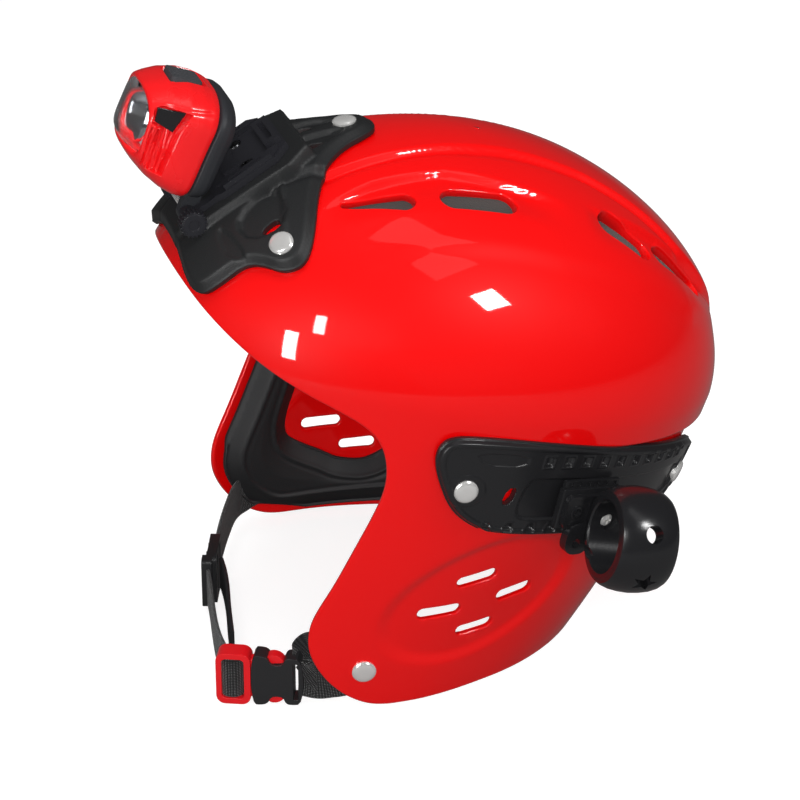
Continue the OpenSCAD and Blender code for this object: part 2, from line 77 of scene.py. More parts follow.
MM = 0.001
HALF_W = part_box("shell")[1].x / MM
FRONT, BACK, CROWN = 138.0, 141.0, 96.0
DOME_POWER, PLAN_POWER = 1.91, 2.08
WALL = 3.0
TILT = math.radians(14)
REST = 142.0
LEDGE_Z, LEDGE_DEPTH = -9.0, 4.0
RED = (0.64, 0.0003, 0.0006)


# ---- frames ----

def moved(x, y, z):
    """Matrix that shifts by x, y and z."""
    return Matrix.Translation((x, y, z))


def turned(degrees, axis):
    """Matrix that turns about an axis."""
    return Matrix.Rotation(math.radians(degrees), 4, axis)


HEAD = moved(0, 0, REST) @ Matrix.Rotation(-TILT, 4, "X")


def to_row(points):
    """Head-frame millimetres to row-frame metres."""
    turn = np.array(HEAD.to_3x3())
    return (np.asarray(points, float) @ turn.T + np.array([0, 0, REST])) * MM


def ramp(x, a, b):
    """0 below a, 1 above b, smooth between."""
    t = np.clip((x - a) / (b - a), 0, 1)
    return t * t * (3 - 2 * t)


# ---- the shell surface ----

def sections(z):
    """Half width, front length and back length of the shell at height z."""
    dome = (1 - np.clip(z / CROWN, 0, 1) ** DOME_POWER) ** (1 / DOME_POWER)
    low = np.minimum(z, 0) / 100
    return (HALF_W * dome + 2 * low - 4 * low ** 2, FRONT * dome,
            BACK * dome + 12 * low - 13 * low ** 2)


def dome_point(th, z):
    """Point at th degrees from the front (towards +X) and height z."""
    s, c = np.sin(np.radians(th)), np.cos(np.radians(th))
    k = (np.abs(s) ** PLAN_POWER + np.abs(c) ** PLAN_POWER) ** (-1 / PLAN_POWER)
    side, front, back = sections(z)
    return np.stack([side * k * s, -np.where(c > 0, front, back) * k * c, z + 0 * s], -1)


def dome_level(p):
    """Implicit form of the shell surface, 1 on it."""
    x, y, z = p[..., 0], p[..., 1], p[..., 2]
    side, front, back = sections(np.minimum(z, 0))
    length = np.where(y < 0, front, back)
    plan = ((np.abs(x) / side) ** PLAN_POWER + (np.abs(y) / length) ** PLAN_POWER) ** (1 / PLAN_POWER)
    return (plan ** DOME_POWER + (np.clip(z, 0, None) / CROWN) ** DOME_POWER) ** (1 / DOME_POWER)


def dome_normal(p):
    """Unit normal of the smooth shell surface at p."""
    step = 0.05
    g = np.stack([dome_level(p + step * e) - dome_level(p - step * e) for e in np.eye(3)], -1)
    return g / np.linalg.norm(g, axis=-1, keepdims=True)


def ledge(th, z):
    """How far the lower back steps in under the rear ledge."""
    turn = np.abs((np.asarray(th) + 180) % 360 - 180)
    return LEDGE_DEPTH * ramp(turn, 78, 112) * (1 - ramp(z, LEDGE_Z - 3, LEDGE_Z))


def on_shell(th, z, off=0.0):
    """Row-frame matrix at a shell point, its Z along the outward normal, in metres."""
    p = dome_point(np.array(float(th)), np.array(float(z)))
    n = dome_normal(p)
    p = p + (off - ledge(th, z)) * n
    turn = HEAD.to_3x3() @ Vector(n).to_track_quat("Z", "Y").to_matrix()
    return Matrix.Translation(Vector(to_row(p))) @ turn.to_4x4()


# ---- plane outlines ----

def smooth_line(points, closed=True, rounds=3):
    """Corner-cut polyline that keeps to the drawn one."""
    p = np.array(points, float)
    for _ in range(rounds):
        q = np.roll(p, -1, 0) if closed else p[1:]
        a = p if closed else p[:-1]
        cut = np.stack([a * 0.75 + q * 0.25, a * 0.25 + q * 0.75], 1).reshape(-1, 2)
        p = cut if closed else np.concatenate([p[:1], cut, p[-1:]])
    return p


def outline_distance(points, outline):
    """Distance inside a closed outline, negative outside, for an array of 2D points."""
    shape = points.shape[:-1]
    p = points.reshape(-1, 2)
    best = np.full(len(p), 1e9)
    inside = np.zeros(len(p), bool)
    for a, b in zip(outline, np.roll(outline, -1, 0)):
        d = b - a
        t = np.clip(((p - a) @ d) / max(d @ d, 1e-12), 0, 1)
        best = np.minimum(best, np.linalg.norm(p - a - t[:, None] * d, axis=1))
        crosses = (a[1] > p[:, 1]) != (b[1] > p[:, 1])
        if abs(d[1]) > 1e-12:
            inside ^= crosses & (p[:, 0] < a[0] + (p[:, 1] - a[1]) * d[0] / d[1])
    return np.where(inside, best, -best).reshape(shape)


def capsule_distance(points, a, b, ra, rb):
    """Distance outside a tapered capsule, for an array of points."""
    a, b = np.array(a, float), np.array(b, float)
    d = b - a
    t = np.clip(((points - a) @ d) / (d @ d), 0, 1)
    return np.linalg.norm(points - a - t[..., None] * d, axis=-1) - (ra + (rb - ra) * t)


# ---- meshes ----

def add_object(name, data):
    """New object in the scene."""
    obj = bpy.data.objects.new(name, data)
    bpy.context.scene.collection.objects.link(obj)
    return obj


def make_piece(name, node, look, verts, faces):
    """New mesh piece from row-frame metres. It stands for a CAD node: it joins that node's body, and the
    node is hidden.
    """
    mesh = bpy.data.meshes.new(name)
    mesh.from_pydata([tuple(v) for v in verts], [], faces)
    mesh.update()
    mesh.polygons.foreach_set("use_smooth", [True] * len(mesh.polygons))
    mesh.materials.append(MAT[look])
    obj = add_object(name, mesh)
    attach(obj, *body_of(frame["nodes"][node]))
    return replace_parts(obj, node)


def clipped_grid(th, z, phi, wrap):
    """Grid points (th, z) and faces where phi > 0, with the border moved onto phi = 0."""
    cols, rows = len(th), len(z)
    t, h = (a.astype(float) for a in np.meshgrid(th, z, indexing="ij"))
    value = phi(t, h)
    done = np.zeros_like(value, bool)
    for di, dj in ((1, 0), (0, 1)):
        a, b = value[:cols - di, :rows - dj], value[di:, dj:]
        for i, j in np.argwhere((a > 0) != (b > 0)):
            share = value[i, j] / (value[i, j] - value[i + di, j + dj] + 1e-12)
            if 0 < share < 0.3 and not done[i, j]:
                t[i, j] += share * (t[i + di, j + dj] - t[i, j])
                h[i, j] += share * (h[i + di, j + dj] - h[i, j])
                done[i, j] = True
            elif 0.7 < share < 1 and not done[i + di, j + dj]:
                t[i + di, j + dj] += (1 - share) * (t[i, j] - t[i + di, j + dj])
                h[i + di, j + dj] += (1 - share) * (h[i, j] - h[i + di, j + dj])
                done[i + di, j + dj] = True
    value[done] = 0
    ids = np.arange(cols * rows).reshape(cols, rows)
    if wrap:
        ids[-1] = ids[0]
        value[-1] = value[0]
    corners = [(0, 0), (1, 0), (1, 1), (0, 1)]
    quads = np.stack([ids[a:cols - 1 + a, b:rows - 1 + b] for a, b in corners], -1)
    levels = np.stack([value[a:cols - 1 + a, b:rows - 1 + b] for a, b in corners], -1)
    keep = (levels >= 0).all(-1) & (levels > 0).any(-1)
    faces = quads[keep].tolist()
    points = np.stack([t.ravel(), h.ravel()], 1)
    extra, cuts = [], {}
    for i, j in np.argwhere((levels > 0).any(-1) & (levels < 0).any(-1)):
        face = []
        for k in range(4):
            m = (k + 1) % 4
            ia, ib, va, vb = quads[i, j, k], quads[i, j, m], levels[i, j, k], levels[i, j, m]
            if va >= 0:
                face.append(int(ia))
            if (va > 0 and vb < 0) or (va < 0 and vb > 0):
                key = (min(ia, ib), max(ia, ib))
                if key not in cuts:
                    cuts[key] = len(points) + len(extra)
                    pa, pb = [np.array([t[i + di, j + dj], h[i + di, j + dj]])
                              for di, dj in (corners[k], corners[m])]
                    extra.append(pa + va / (va - vb) * (pb - pa))
                face.append(cuts[key])
        if len(face) > 2:
            faces.append(face)
    if extra:
        points = np.concatenate([points, np.array(extra)])
    used = np.unique(np.concatenate([np.array(f) for f in faces]))
    place = np.full(len(points), -1)
    place[used] = np.arange(len(used))
    return points[used], [[int(place[v]) for v in f] for f in faces]


def border_loops(faces):
    """Closed loops of the edges that one face uses, each in that face's order."""
    following = {}
    edges = set()
    for f in faces:
        for a, b in zip(f, f[1:] + f[:1]):
            edges.add((a, b))
    for a, b in edges:
        if (b, a) not in edges:
            following[a] = b
    loops = []
    while following:
        start, b = next(iter(following.items()))
        loop = []
        a = start
        while a in following:
            loop.append(a)
            a = following.pop(a)
        loops.append(loop)
    return [l for l in loops if len(l) > 2]


def rim_profile(depth, fillet, steps=4):
    """(outwards, down) points of a rounded rim, from the top surface to the bottom one."""
    r = min(fillet, depth * 0.45)
    angles = [math.pi / 2 * k / steps for k in range(1, steps + 1)]
    top = [(r * math.sin(a), r * (1 - math.cos(a))) for a in angles]
    return top + [(x, depth - y) for x, y in reversed(top)]


def slab(name, node, look, th, z, phi, top, bottom, fillet, wrap=False, deep=None):
    """Closed piece that lies on the shell surface: kept where phi(p, th, z) > 0, between two offsets.
    deep(p) > 0 marks border points whose wall runs further in, as round a vent."""
    def level(t, h):
        return phi(dome_point(t, h), t, h) - fillet
    uv, faces = clipped_grid(th, z, level, wrap)
    base = dome_point(uv[:, 0], uv[:, 1])
    normal = dome_normal(base)
    step = ledge(uv[:, 0], uv[:, 1])
    high = base + (top(base, uv) - step)[:, None] * normal
    low = base + (bottom(base, uv) - step)[:, None] * normal
    verts = [high, low]
    count = len(base)
    out_faces = faces + [[v + count for v in reversed(f)] for f in faces]
    total = 2 * count
    for loop in border_loops(faces):
        ids = np.array(loop)
        tangent = np.roll(high[ids], -1, 0) - np.roll(high[ids], 1, 0)
        tangent /= np.linalg.norm(tangent, axis=1, keepdims=True) + 1e-9
        out = np.cross(tangent, normal[ids])
        depth = float(np.mean(np.linalg.norm(high[ids] - low[ids], axis=1)))
        if deep is not None and np.all(deep(base[ids]) > 0):
            profile = vent_profile(depth, fillet)
        else:
            profile = rim_profile(depth, fillet)
        rings = [ids]
        for x, y in profile:
            verts.append(high[ids] + x * out - y * normal[ids])
            rings.append(np.arange(total, total + len(ids)))
            total += len(ids)
        rings.append(ids + count)
        for a, b in zip(rings, rings[1:]):
            nxt_a, nxt_b = np.roll(a, -1), np.roll(b, -1)
            out_faces += np.stack([nxt_a, a, b, nxt_b], 1).tolist()
    return make_piece(name, node, look, to_row(np.concatenate(verts)), out_faces)


def vent_profile(depth, fillet, steps=5, wall=7.0, thin=1.8):
    """Rim of a vent: rounded lip, then a wall that runs down inside the shell."""
    angles = [math.pi / 2 * k / steps for k in range(1, steps + 1)]
    lip = [(fillet * math.sin(a), fillet * (1 - math.cos(a))) for a in angles]
    return lip + [(fillet + 0.4, wall), (fillet + 0.4 - thin, wall), (fillet - thin, depth + 0.2)]


# ---- materials ----

def plug(tree, node, inputs):
    """Gives each named input a value, or joins it to another node's output."""
    for key, value in inputs.items():
        if isinstance(value, bpy.types.NodeSocket):
            tree.links.new(value, node.inputs[key])
        else:
            node.inputs[key].default_value = value


def add_node(tree, kind, inputs=(), **settings):
    """New shader node with its settings and inputs."""
    node = tree.nodes.new("ShaderNode" + kind)
    for key, value in settings.items():
        setattr(node, key, value)
    plug(tree, node, dict(inputs))
    return node


def spread(tree, value, low, high):
    """A 0..1 value stretched to low..high."""
    return add_node(tree, "MapRange", {"To Min": low, "To Max": high, "Value": value}).outputs["Result"]


WEAR_SCALE = 30.0


def node_material(name, color, roughness, metallic=0.0, coat=0.0, bump=0.0, bump_scale=400.0,
                  wear=0.0, transmission=0.0, sheen=0.0, specular=0.5):
    """Principled material with a fine noise bump and a slow noise over its roughness."""
    material = bpy.data.materials.new(name)
    material.use_nodes = True
    tree = material.node_tree
    place = add_node(tree, "TexCoord").outputs["Object"]
    slow = add_node(tree, "TexNoise", {"Scale": WEAR_SCALE, "Detail": 4, "Vector": place}).outputs["Fac"]
    shader = tree.nodes["Principled BSDF"]
    plug(tree, shader, {
        "Base Color": (*color, 1), "Metallic": metallic, "Coat Weight": coat, "Coat Roughness": 0.04,
        "Transmission Weight": transmission, "Sheen Weight": sheen, "Specular IOR Level": specular,
        "Roughness": spread(tree, slow, max(roughness - wear, 0.01), roughness + wear)})
    if bump:
        grain = add_node(tree, "TexNoise", {"Scale": bump_scale, "Detail": 3, "Vector": place})
        raised = add_node(tree, "Bump", {"Strength": bump, "Distance": 0.0002,
                                         "Height": grain.outputs["Fac"]})
        plug(tree, shader, {"Normal": raised.outputs["Normal"]})
    return material


def weave_material(name, color, pitch, roughness=0.8):
    """Woven band: ribs along its length crossed by warp threads, from the band's own coordinates."""
    material = node_material(name, color, roughness, wear=0.06, sheen=0.25, specular=0.25)
    tree = material.node_tree
    place = add_node(tree, "UVMap", uv_map="weave").outputs["UV"]

    def wave(direction, share):
        inputs = {"Scale": share * 0.314 / pitch, "Distortion": 0.25, "Vector": place}
        return add_node(tree, "TexWave", inputs, bands_direction=direction).outputs["Fac"]

    product = add_node(tree, "Math", {0: wave("X", 1.0), 1: wave("Y", 1.3)}, operation="MULTIPLY")
    both = product.outputs["Value"]
    bump = add_node(tree, "Bump", {"Strength": 0.9, "Distance": 0.0005, "Height": both})
    # The band's colour follows the weave's height: painted shade in the hollows between threads and a
    # painted highlight on the raised threads.
    painted_shade_and_highlight = add_node(tree, "VectorMath", {0: color, "Scale": spread(tree, both, 0.4, 1.7)},
                     operation="SCALE")
    plug(tree, tree.nodes["Principled BSDF"],
         {"Normal": bump.outputs["Normal"], "Base Color": painted_shade_and_highlight.outputs["Vector"]})
    return material


def clear_material(name):
    """Clear moulding with faint streaks in its roughness; shadows pass through it."""
    material = node_material(name, (0.97, 0.98, 1.0), 0.05, transmission=1.0, wear=0.03, bump=0.05,
                             bump_scale=90)
    tree = material.node_tree
    shader = tree.nodes["Principled BSDF"]
    plug(tree, shader, {"IOR": 1.25})
    mix = add_node(tree, "MixShader", {
        0: add_node(tree, "LightPath").outputs["Is Shadow Ray"], 1: shader.outputs["BSDF"],
        2: add_node(tree, "BsdfTransparent").outputs["BSDF"]})
    plug(tree, tree.nodes["Material Output"], {"Surface": mix.outputs["Shader"]})
    return material


# Colour, roughness and the rest of each look.
LOOKS = {
    "shell_red": (RED, 0.45, dict(coat=0.9, bump=0.02, bump_scale=60, wear=0.03, specular=0.12)),
    "lamp_red": ((0.66, 0.006, 0.008), 0.27, dict(coat=0.25, bump=0.06, bump_scale=500, wear=0.04)),
    "buckle_red": ((0.60, 0.006, 0.01), 0.3, dict(coat=0.15, bump=0.1, bump_scale=700, wear=0.05)),
    "foam_black": ((0.010, 0.010, 0.011), 0.6, dict(bump=0.25, bump_scale=900, wear=0.08)),
    "foam_grey": ((0.026, 0.025, 0.023), 0.9, dict(bump=0.9, bump_scale=1500, sheen=0.3, wear=0.05)),
    "bracket_black": ((0.011, 0.0115, 0.012), 0.5, dict(bump=0.6, bump_scale=1100, wear=0.06,
                      specular=0.45)),
    "plate_black": ((0.013, 0.013, 0.016), 0.42, dict(bump=0.2, bump_scale=1300, wear=0.05,
                                                      specular=0.4)),
    "lamp_black": ((0.018, 0.019, 0.022), 0.5, dict(bump=0.35, bump_scale=1500, wear=0.05, specular=0.4)),
    "rail_black": ((0.010, 0.010, 0.011), 0.3, dict(bump=0.12, bump_scale=700, wear=0.08)),
    "ring_black": ((0.009, 0.009, 0.010), 0.24, dict(bump=0.16, bump_scale=650, wear=0.07)),
    "buckle_black": ((0.013, 0.013, 0.014), 0.38, dict(bump=0.15, bump_scale=900, wear=0.06)),
    "button_rubber": ((0.035, 0.036, 0.04), 0.75, dict(bump=0.9, bump_scale=2200, wear=0.05)),
    "smoked": ((0.006, 0.006, 0.007), 0.12, dict(coat=0.3, wear=0.04)),
    "smooth_tape": ((0.012, 0.0125, 0.014), 0.5, dict(bump=0.15, bump_scale=1200, wear=0.06)),
    # Steel with a light base colour that is only partly metallic, so the broad lamps light it white: a
    # painted reflection of the white surroundings that bright steel mirrors.
    "steel": ((0.90, 0.89, 0.87), 0.2, dict(metallic=0.7, bump=0.12, bump_scale=900, wear=0.08)),
    "dark_steel": ((0.10, 0.10, 0.105), 0.35, dict(metallic=1.0, bump=0.1, bump_scale=900, wear=0.08)),
    "chrome": ((0.93, 0.93, 0.94), 0.09, dict(metallic=1.0, wear=0.03, bump=0.03, bump_scale=300)),
    "tray": ((0.62, 0.62, 0.63), 0.35, dict(metallic=0.3, bump=0.05, bump_scale=500, wear=0.05)),
    "led": ((0.95, 0.88, 0.62), 0.25, dict(bump=0.05, bump_scale=900, wear=0.05)),
    "board": ((0.02, 0.16, 0.06), 0.45, dict(bump=0.2, bump_scale=700, wear=0.05)),
    "cell": ((0.6, 0.6, 0.62), 0.32, dict(metallic=0.9, bump=0.25, bump_scale=350, wear=0.06)),
}
MAT = {name: node_material(name, color, roughness, **more)
       for name, (color, roughness, more) in LOOKS.items()}
MAT["webbing"] = weave_material("webbing", (0.007, 0.007, 0.0075), 0.0011)
MAT["clear"] = clear_material("clear")


# ---- shell ----

RIM = [[-170, 34], [-138, 25.5], [-132, 20], [-125, 14.5], [-114, 8], [-101, 2], [-86, -3], [-70, -7],
       [-58, -11], [-50, -17], [-45, -27], [-43, -39], [-45, -53], [-49, -72], [-53, -92], [-57, -107],
       [-58, -116], [-56, -126], [-50, -135], [-41, -143], [-30, -148.5]]
FLOOR_SLOPE = math.tan(TILT)
FLOOR_Z = -REST / math.cos(TILT)
VENTS = [([45.5, -72, 71], [51.5, -47, 77.5], 1.5, 5.4), ([52, -24, 82], [52.5, -1, 82.5], 6.4, 6.8),
         ([46, 55, 77], [50, 72, 69], 6.2, 6.6), ([43, 87, 63], [36, 110, 48], 6.2, 5.0)]
EAR_SLOTS = [([104, 5.5, -82], [104, 19.5, -77.4]), ([103, -9, -99.8], [103, 6, -96.2]),
             ([102, 29.5, -89.6], [100, 42, -85.8]), ([101, 12.8, -108.1], [100, 26, -104.4])]
SLOT_R = 2.9


def shell_outline():
    """Closed side-view outline (y, z) of the shell, with room above the crown."""
    floor = [[-18, FLOOR_Z - 18 * FLOOR_SLOPE + 0.4], [-2, FLOOR_Z - 2 * FLOOR_SLOPE],
             [190, FLOOR_Z + 190 * FLOOR_SLOPE]]
    rim = smooth_line(RIM + floor, closed=False, rounds=3)
    return np.concatenate([rim, [[190, 200], [-170, 200]]])


def side_point(p):
    """Same point on the wearer's left."""
    return np.concatenate([np.abs(p[..., :1]), p[..., 1:]], -1)


def hole_distance(p):
    """Distance outside every vent and ear slot."""
    q = side_point(p)
    found = [capsule_distance(q, a, b, ra, rb) for a, b, ra, rb in VENTS]
    found += [capsule_distance(q, a, b, SLOT_R, SLOT_R) for a, b in EAR_SLOTS]
    return np.minimum.reduce(found)


def crease(y, points):
    """Half width at y of a crease that runs from front to back."""
    ys, xs = zip(*points)
    return np.interp(y, ys, xs)


BAND = [(-128, 14), (-100, 24), (-78, 27), (-60, 25), (-25, 21), (10, 20), (45, 21), (75, 25),
        (100, 30), (118, 27), (140, 16)]
SCOOP_TOP = [(-90, 52), (-77, 43), (-60, 39), (-27, 37), (0, 42), (29, 47), (60, 42), (90, 36), (120, 28)]
SCOOP_LOW = [(-90, 58), (-60, 59), (-30, 60), (6, 62), (35, 64), (69, 62), (102, 56), (130, 34)]
SHOULDER = [(-90, 66), (-72, 70), (-50, 73), (-20, 75), (23, 76), (67, 71), (102, 60), (136, 26)]


def relief(p, uv):
    """Height of the moulded creases over the smooth dome."""
    x, y, z = np.abs(p[:, 0]), p[:, 1], p[:, 2]
    high = ramp(z, 22, 45)
    band = crease(y, BAND) - x
    out = 1.8 * ramp(band, -1.6, 1.2) - 0.9 * np.exp(-((band + 2.6) / 1.6) ** 2)
    top, low = crease(y, SCOOP_TOP), crease(y, SCOOP_LOW)
    along = np.maximum(ramp(y, -84, -62) * (1 - ramp(y, 8, 34)),
                       ramp(y, 40, 56) * (1 - ramp(y, 108, 126)))
    cut = ramp(x - top, -1.2, 2.2) * (1 - ramp(x - top, 3, np.maximum(low - top, 6)))
    out = out - 3.0 * cut * along
    shoulder = crease(y, SHOULDER) - x
    out = out + 1.1 * ramp(shoulder, -4, 4) * ramp(y, -95, -40)
    return out * high - dish(p)


def dish(p):
    """Shallow pressed dish round the ear slots."""
    q = side_point(p)[:, 1:]
    oval = np.sqrt(((q[:, 0] - 17) / 48) ** 2 + ((q[:, 1] + 90 - 0.35 * (q[:, 0] - 17)) / 33) ** 2)
    return 1.8 * (1 - ramp(oval, 0.82, 1.0)) * ramp(q[:, 1], -140, -120) * (1 - ramp(q[:, 1], -62, -48))


def build_shell():
    """Red moulding with its vents, ear slots and creases."""
    outline = shell_outline()

    def phi(p, th, z):
        return np.minimum(outline_distance(p[..., 1:], outline), hole_distance(p))

    low = np.arange(-156, LEDGE_Z - 4, 1.6)
    step = np.linspace(LEDGE_Z - 4, LEDGE_Z + 1, 8)
    high = CROWN * np.sin(np.radians(np.concatenate([np.linspace(-3.8, 86, 92), [87.5, 88.8, 89.95]])))
    z = np.unique(np.concatenate([low, step, high]))
    slab("shell_moulding", "shell", "shell_red", np.linspace(-180, 180, 601), z, phi, relief,
         lambda p, uv: relief(p, uv) - WALL, 0.9, wrap=True,
         deep=lambda p: 7 - np.abs(hole_distance(p)) - 20 * (p[:, 2] < 0))


build_shell()


# ---- local frames, millimetres to millimetres ----

def in_frame(place, points):
    """Local millimetres to row-place metres."""
    turn = np.array(place.to_3x3())
    return (np.asarray(points, float) @ turn.T + np.array(place.translation)) * MM


LAY_GAP, RAIL_THICK = 0.45, 5.0
CARRIAGE_TH, CARRIAGE_Z = 112.0, -37.0
SCREW_Y, SCREW_Z, RING_STAND = 6, -2, 31.2
SEAT_Y, SEAT_Z, SEAT_LEAN, SEAT_W = -108, 60, 45, 5.0
HINGE_Y, HINGE_Z, LAMP_LEAN = -131, 46, 6


def carriage_place():
    """Frame on the rail's outer face, its X outwards, and how far it is turned from the helmet's X."""
    p = dome_point(np.array(CARRIAGE_TH), np.array(CARRIAGE_Z))
    n = dome_normal(p)
    p = p + (LAY_GAP + RAIL_THICK - ledge(CARRIAGE_TH, CARRIAGE_Z)) * n
    turn = math.atan2(n[1], n[0])
    return HEAD @ Matrix.Translation(Vector(p)) @ Matrix.Rotation(turn, 4, "Z"), turn


SEAT = HEAD @ moved(0, SEAT_Y, SEAT_Z) @ turned(SEAT_LEAN, "X")
LAMP_TURN = HEAD @ moved(0, HINGE_Y, HINGE_Z) @ turned(-LAMP_LEAN, "X") @ moved(0, -HINGE_Y, -HINGE_Z)
LAMP = LAMP_TURN @ moved(0, -127, 57)
HINGE = HEAD @ moved(0, HINGE_Y, HINGE_Z) @ turned(90, "Y")
CARRIAGE, CARRIAGE_TURN = carriage_place()
RING = CARRIAGE @ moved(RING_STAND, SCREW_Y, SCREW_Z) @ Matrix.Rotation(-CARRIAGE_TURN, 4, "Z")
BUCKLE = moved(84, -84, 13) @ Matrix.Rotation(math.atan2(-33, -14), 4, "Z")


def seat_plane(p):
    """Head-frame points as (across, up the slope, outwards) of the bracket's seat."""
    y, z = p[..., 1] - SEAT_Y, p[..., 2] - SEAT_Z
    return np.stack([p[..., 0], (y + z) * math.sqrt(0.5), (z - y) * math.sqrt(0.5)], -1)


# ---- solids made of simple parts, joined and cut ----

def prism(place, outline, low, high, shrink=0.0):
    """Straight solid over an outline in the place's XY plane, its top pulled in by a share."""
    ring = np.array(outline, float)
    count = len(ring)
    top = ring.mean(0) + (ring - ring.mean(0)) * (1 - shrink)
    verts = np.concatenate([np.c_[ring, np.full(count, low)], np.c_[top, np.full(count, high)]])
    sides = [[i, (i + 1) % count, count + (i + 1) % count, count + i] for i in range(count)]
    faces = [list(range(count))[::-1], list(range(count, 2 * count))] + sides
    return in_frame(place, verts), faces


def box(place, low, high):
    """Box between two corners of a place."""
    (a, b, c), (d, e, f) = low, high
    return prism(place, [(a, b), (d, b), (d, e), (a, e)], c, f)


def circle(r, count=40, x=0.0, y=0.0):
    """Round outline."""
    angles = np.arange(count) * 2 * math.pi / count + 0.05
    return np.stack([x + r * np.cos(angles), y + r * np.sin(angles)], 1)


def rod(place, r, low, high, x=0.0, y=0.0, count=40):
    """Cylinder along the frame's Z axis."""
    return prism(place, circle(r, count, x, y), low, high)


def rounded(x0, y0, x1, y1, r, steps=6):
    """Rectangle outline with round corners."""
    corners = [(x1 - r, y1 - r, 0), (x0 + r, y1 - r, 90), (x0 + r, y0 + r, 180), (x1 - r, y0 + r, 270)]
    return [(cx + r * math.cos(math.radians(a + 90 * k / steps)),
             cy + r * math.sin(math.radians(a + 90 * k / steps)))
            for cx, cy, a in corners for k in range(steps + 1)]


def lathe(place, profile, count):
    """Closed ring turned about the place's Z axis, from a closed (radius, height) profile."""
    profile = np.array(profile, float)
    angles = np.arange(count) * 2 * math.pi / count
    r, h = profile[:, 0], profile[:, 1]
    verts = np.stack([np.outer(np.cos(angles), r), np.outer(np.sin(angles), r),
                      np.tile(h, (count, 1))], -1).reshape(-1, 3)
    n = len(profile)
    faces = []
    for i in range(count):
        a, b = i * n, ((i + 1) % count) * n
        faces += [[a + k, b + k, b + (k + 1) % n, a + (k + 1) % n] for k in range(n)]
    return in_frame(place, verts), faces


def scratch(verts, faces):
    """Object for a boolean, removed afterwards."""
    mesh = bpy.data.meshes.new("scratch")
    mesh.from_pydata([tuple(v) for v in verts], [], faces)
    tidy = bmesh.new()
    tidy.from_mesh(mesh)
    bmesh.ops.recalc_face_normals(tidy, faces=tidy.faces)
    tidy.to_mesh(mesh)
    tidy.free()
    return add_object("scratch", mesh)


def evaluated(obj):
    """Vertices and faces of an object after its modifiers."""
    bpy.context.view_layer.update()
    mesh = obj.evaluated_get(bpy.context.evaluated_depsgraph_get()).to_mesh()
    verts = np.array([v.co for v in mesh.vertices])
    faces = [list(p.vertices) for p in mesh.polygons]
    return verts, faces


def combine(parts, cuts=()):
    """Union of parts less the cuts, as vertices and faces."""
    base = scratch(*parts[0])
    others = [(scratch(*p), "UNION") for p in parts[1:]] + [(scratch(*c), "DIFFERENCE") for c in cuts]
    for other, how in others:
        step = base.modifiers.new("join", "BOOLEAN")
        step.object = other
        step.operation = how
        step.solver = "EXACT"
    verts, faces = evaluated(base)
    for obj in [base] + [o for o, _ in others]:
        bpy.data.objects.remove(obj)
    return verts, faces


def crisp(obj, width, angle=32):
    """Narrow rounded edges, and shading that stays flat on flat faces."""
    bevel = obj.modifiers.new("edges", "BEVEL")
    bevel.width = width * MM
    bevel.segments = 2
    bevel.limit_method = "ANGLE"
    bevel.angle_limit = math.radians(angle)
    bevel.harden_normals = True
    bevel.use_clamp_overlap = True
    return obj


def hard_piece(name, node, look, parts, cuts=(), edge=0.4, angle=32):
    """Piece with crisp edges, made of parts less the cuts."""
    return crisp(make_piece(name, node, look, *combine(parts, cuts)), edge, angle)


def skin(rings):
    """Faces between equal closed rings of points, with both ends capped."""
    count, size = rings.shape[:2]
    faces = []
    for i in range(count - 1):
        for k in range(size):
            m = (k + 1) % size
            faces.append([i * size + k, i * size + m, (i + 1) * size + m, (i + 1) * size + k])
    return faces + [list(range(size))[::-1], list(range((count - 1) * size, count * size))]


# ---- rivets and screws ----

BRACKET_RIVETS = ((0, 85), (35.3, 49))
RAIL_RIVETS = ((86, -31), (148, -36))
STRAP_RIVET = (78, -132)
RIVET_R, RIVET_RISE, TAIL_R = 5.5, 1.9, 4.2


def rivet_head(place, r, rise):
    """Low domed head, its foot on the place's XY plane."""
    steps = [math.radians(a) for a in (0, 18, 36, 54, 72, 84)]
    profile = [(0.02, -1.5), (r * 0.96, -1.5), (r, 0), (r, rise * 0.35)]
    profile += [(r * (0.35 + 0.62 * math.cos(a)), rise * (0.4 + 0.6 * math.sin(a))) for a in steps]
    profile += [(0.02, rise)]
    return lathe(place, profile, 48)


def rivet_tail(place, r, low, high):
    """Flat formed tail with a small bevel."""
    return lathe(place, [(0.02, low), (r - 0.6, low), (r, low + 0.5), (r, high), (0.02, high)], 36)


def joined(parts):
    """Several separate solids as one mesh."""
    verts, faces, total = [], [], 0
    for v, f in parts:
        verts.append(v)
        faces += [[i + total for i in face] for face in f]
        total += len(v)
    return np.concatenate(verts), faces


def shell_frame(th, z, off):
    """Millimetre frame on the shell surface."""
    return Matrix.Scale(1 / MM, 4) @ on_shell(th, z, off) @ Matrix.Scale(MM, 4)


def surface_height(height, th, z):
    """Value of a height function at one shell point."""
    uv = np.array([[th, z]], float)
    return float(height(dome_point(uv[:, 0], uv[:, 1]), uv)[0])


def build_rivets():
    """Domed heads outside and formed tails inside, in three groups."""
    bracket = [*BRACKET_RIVETS, (-BRACKET_RIVETS[1][0], BRACKET_RIVETS[1][1])]
    rails = [(s * th, z) for s in (1, -1) for th, z in RAIL_RIVETS]
    straps = [(s * STRAP_RIVET[0], STRAP_RIVET[1]) for s in (1, -1)]
    for name, places, height in (("bracket_rivets", bracket, bracket_height),
                                 ("rail_rivets", rails, rail_height), ("strap_rivets", straps, None)):
        feet = [surface_height(height, th, z) if height else 0.3 for th, z in places]
        parts = [rivet_head(shell_frame(th, z, foot), RIVET_R, RIVET_RISE)
                 for (th, z), foot in zip(places, feet)]
        parts += [rivet_tail(shell_frame(th, z, -WALL - 1.3), TAIL_R, 0, 1.2) for th, z in places]
        mark_sharp(make_piece(name + "_formed", name, "steel", *joined(parts)), 40)


def mark_sharp(obj, angle):
    """Edges steeper than an angle in degrees are shaded sharp."""
    obj.data.set_sharp_from_angle(angle=math.radians(angle))
    return obj


# ---- front bracket ----

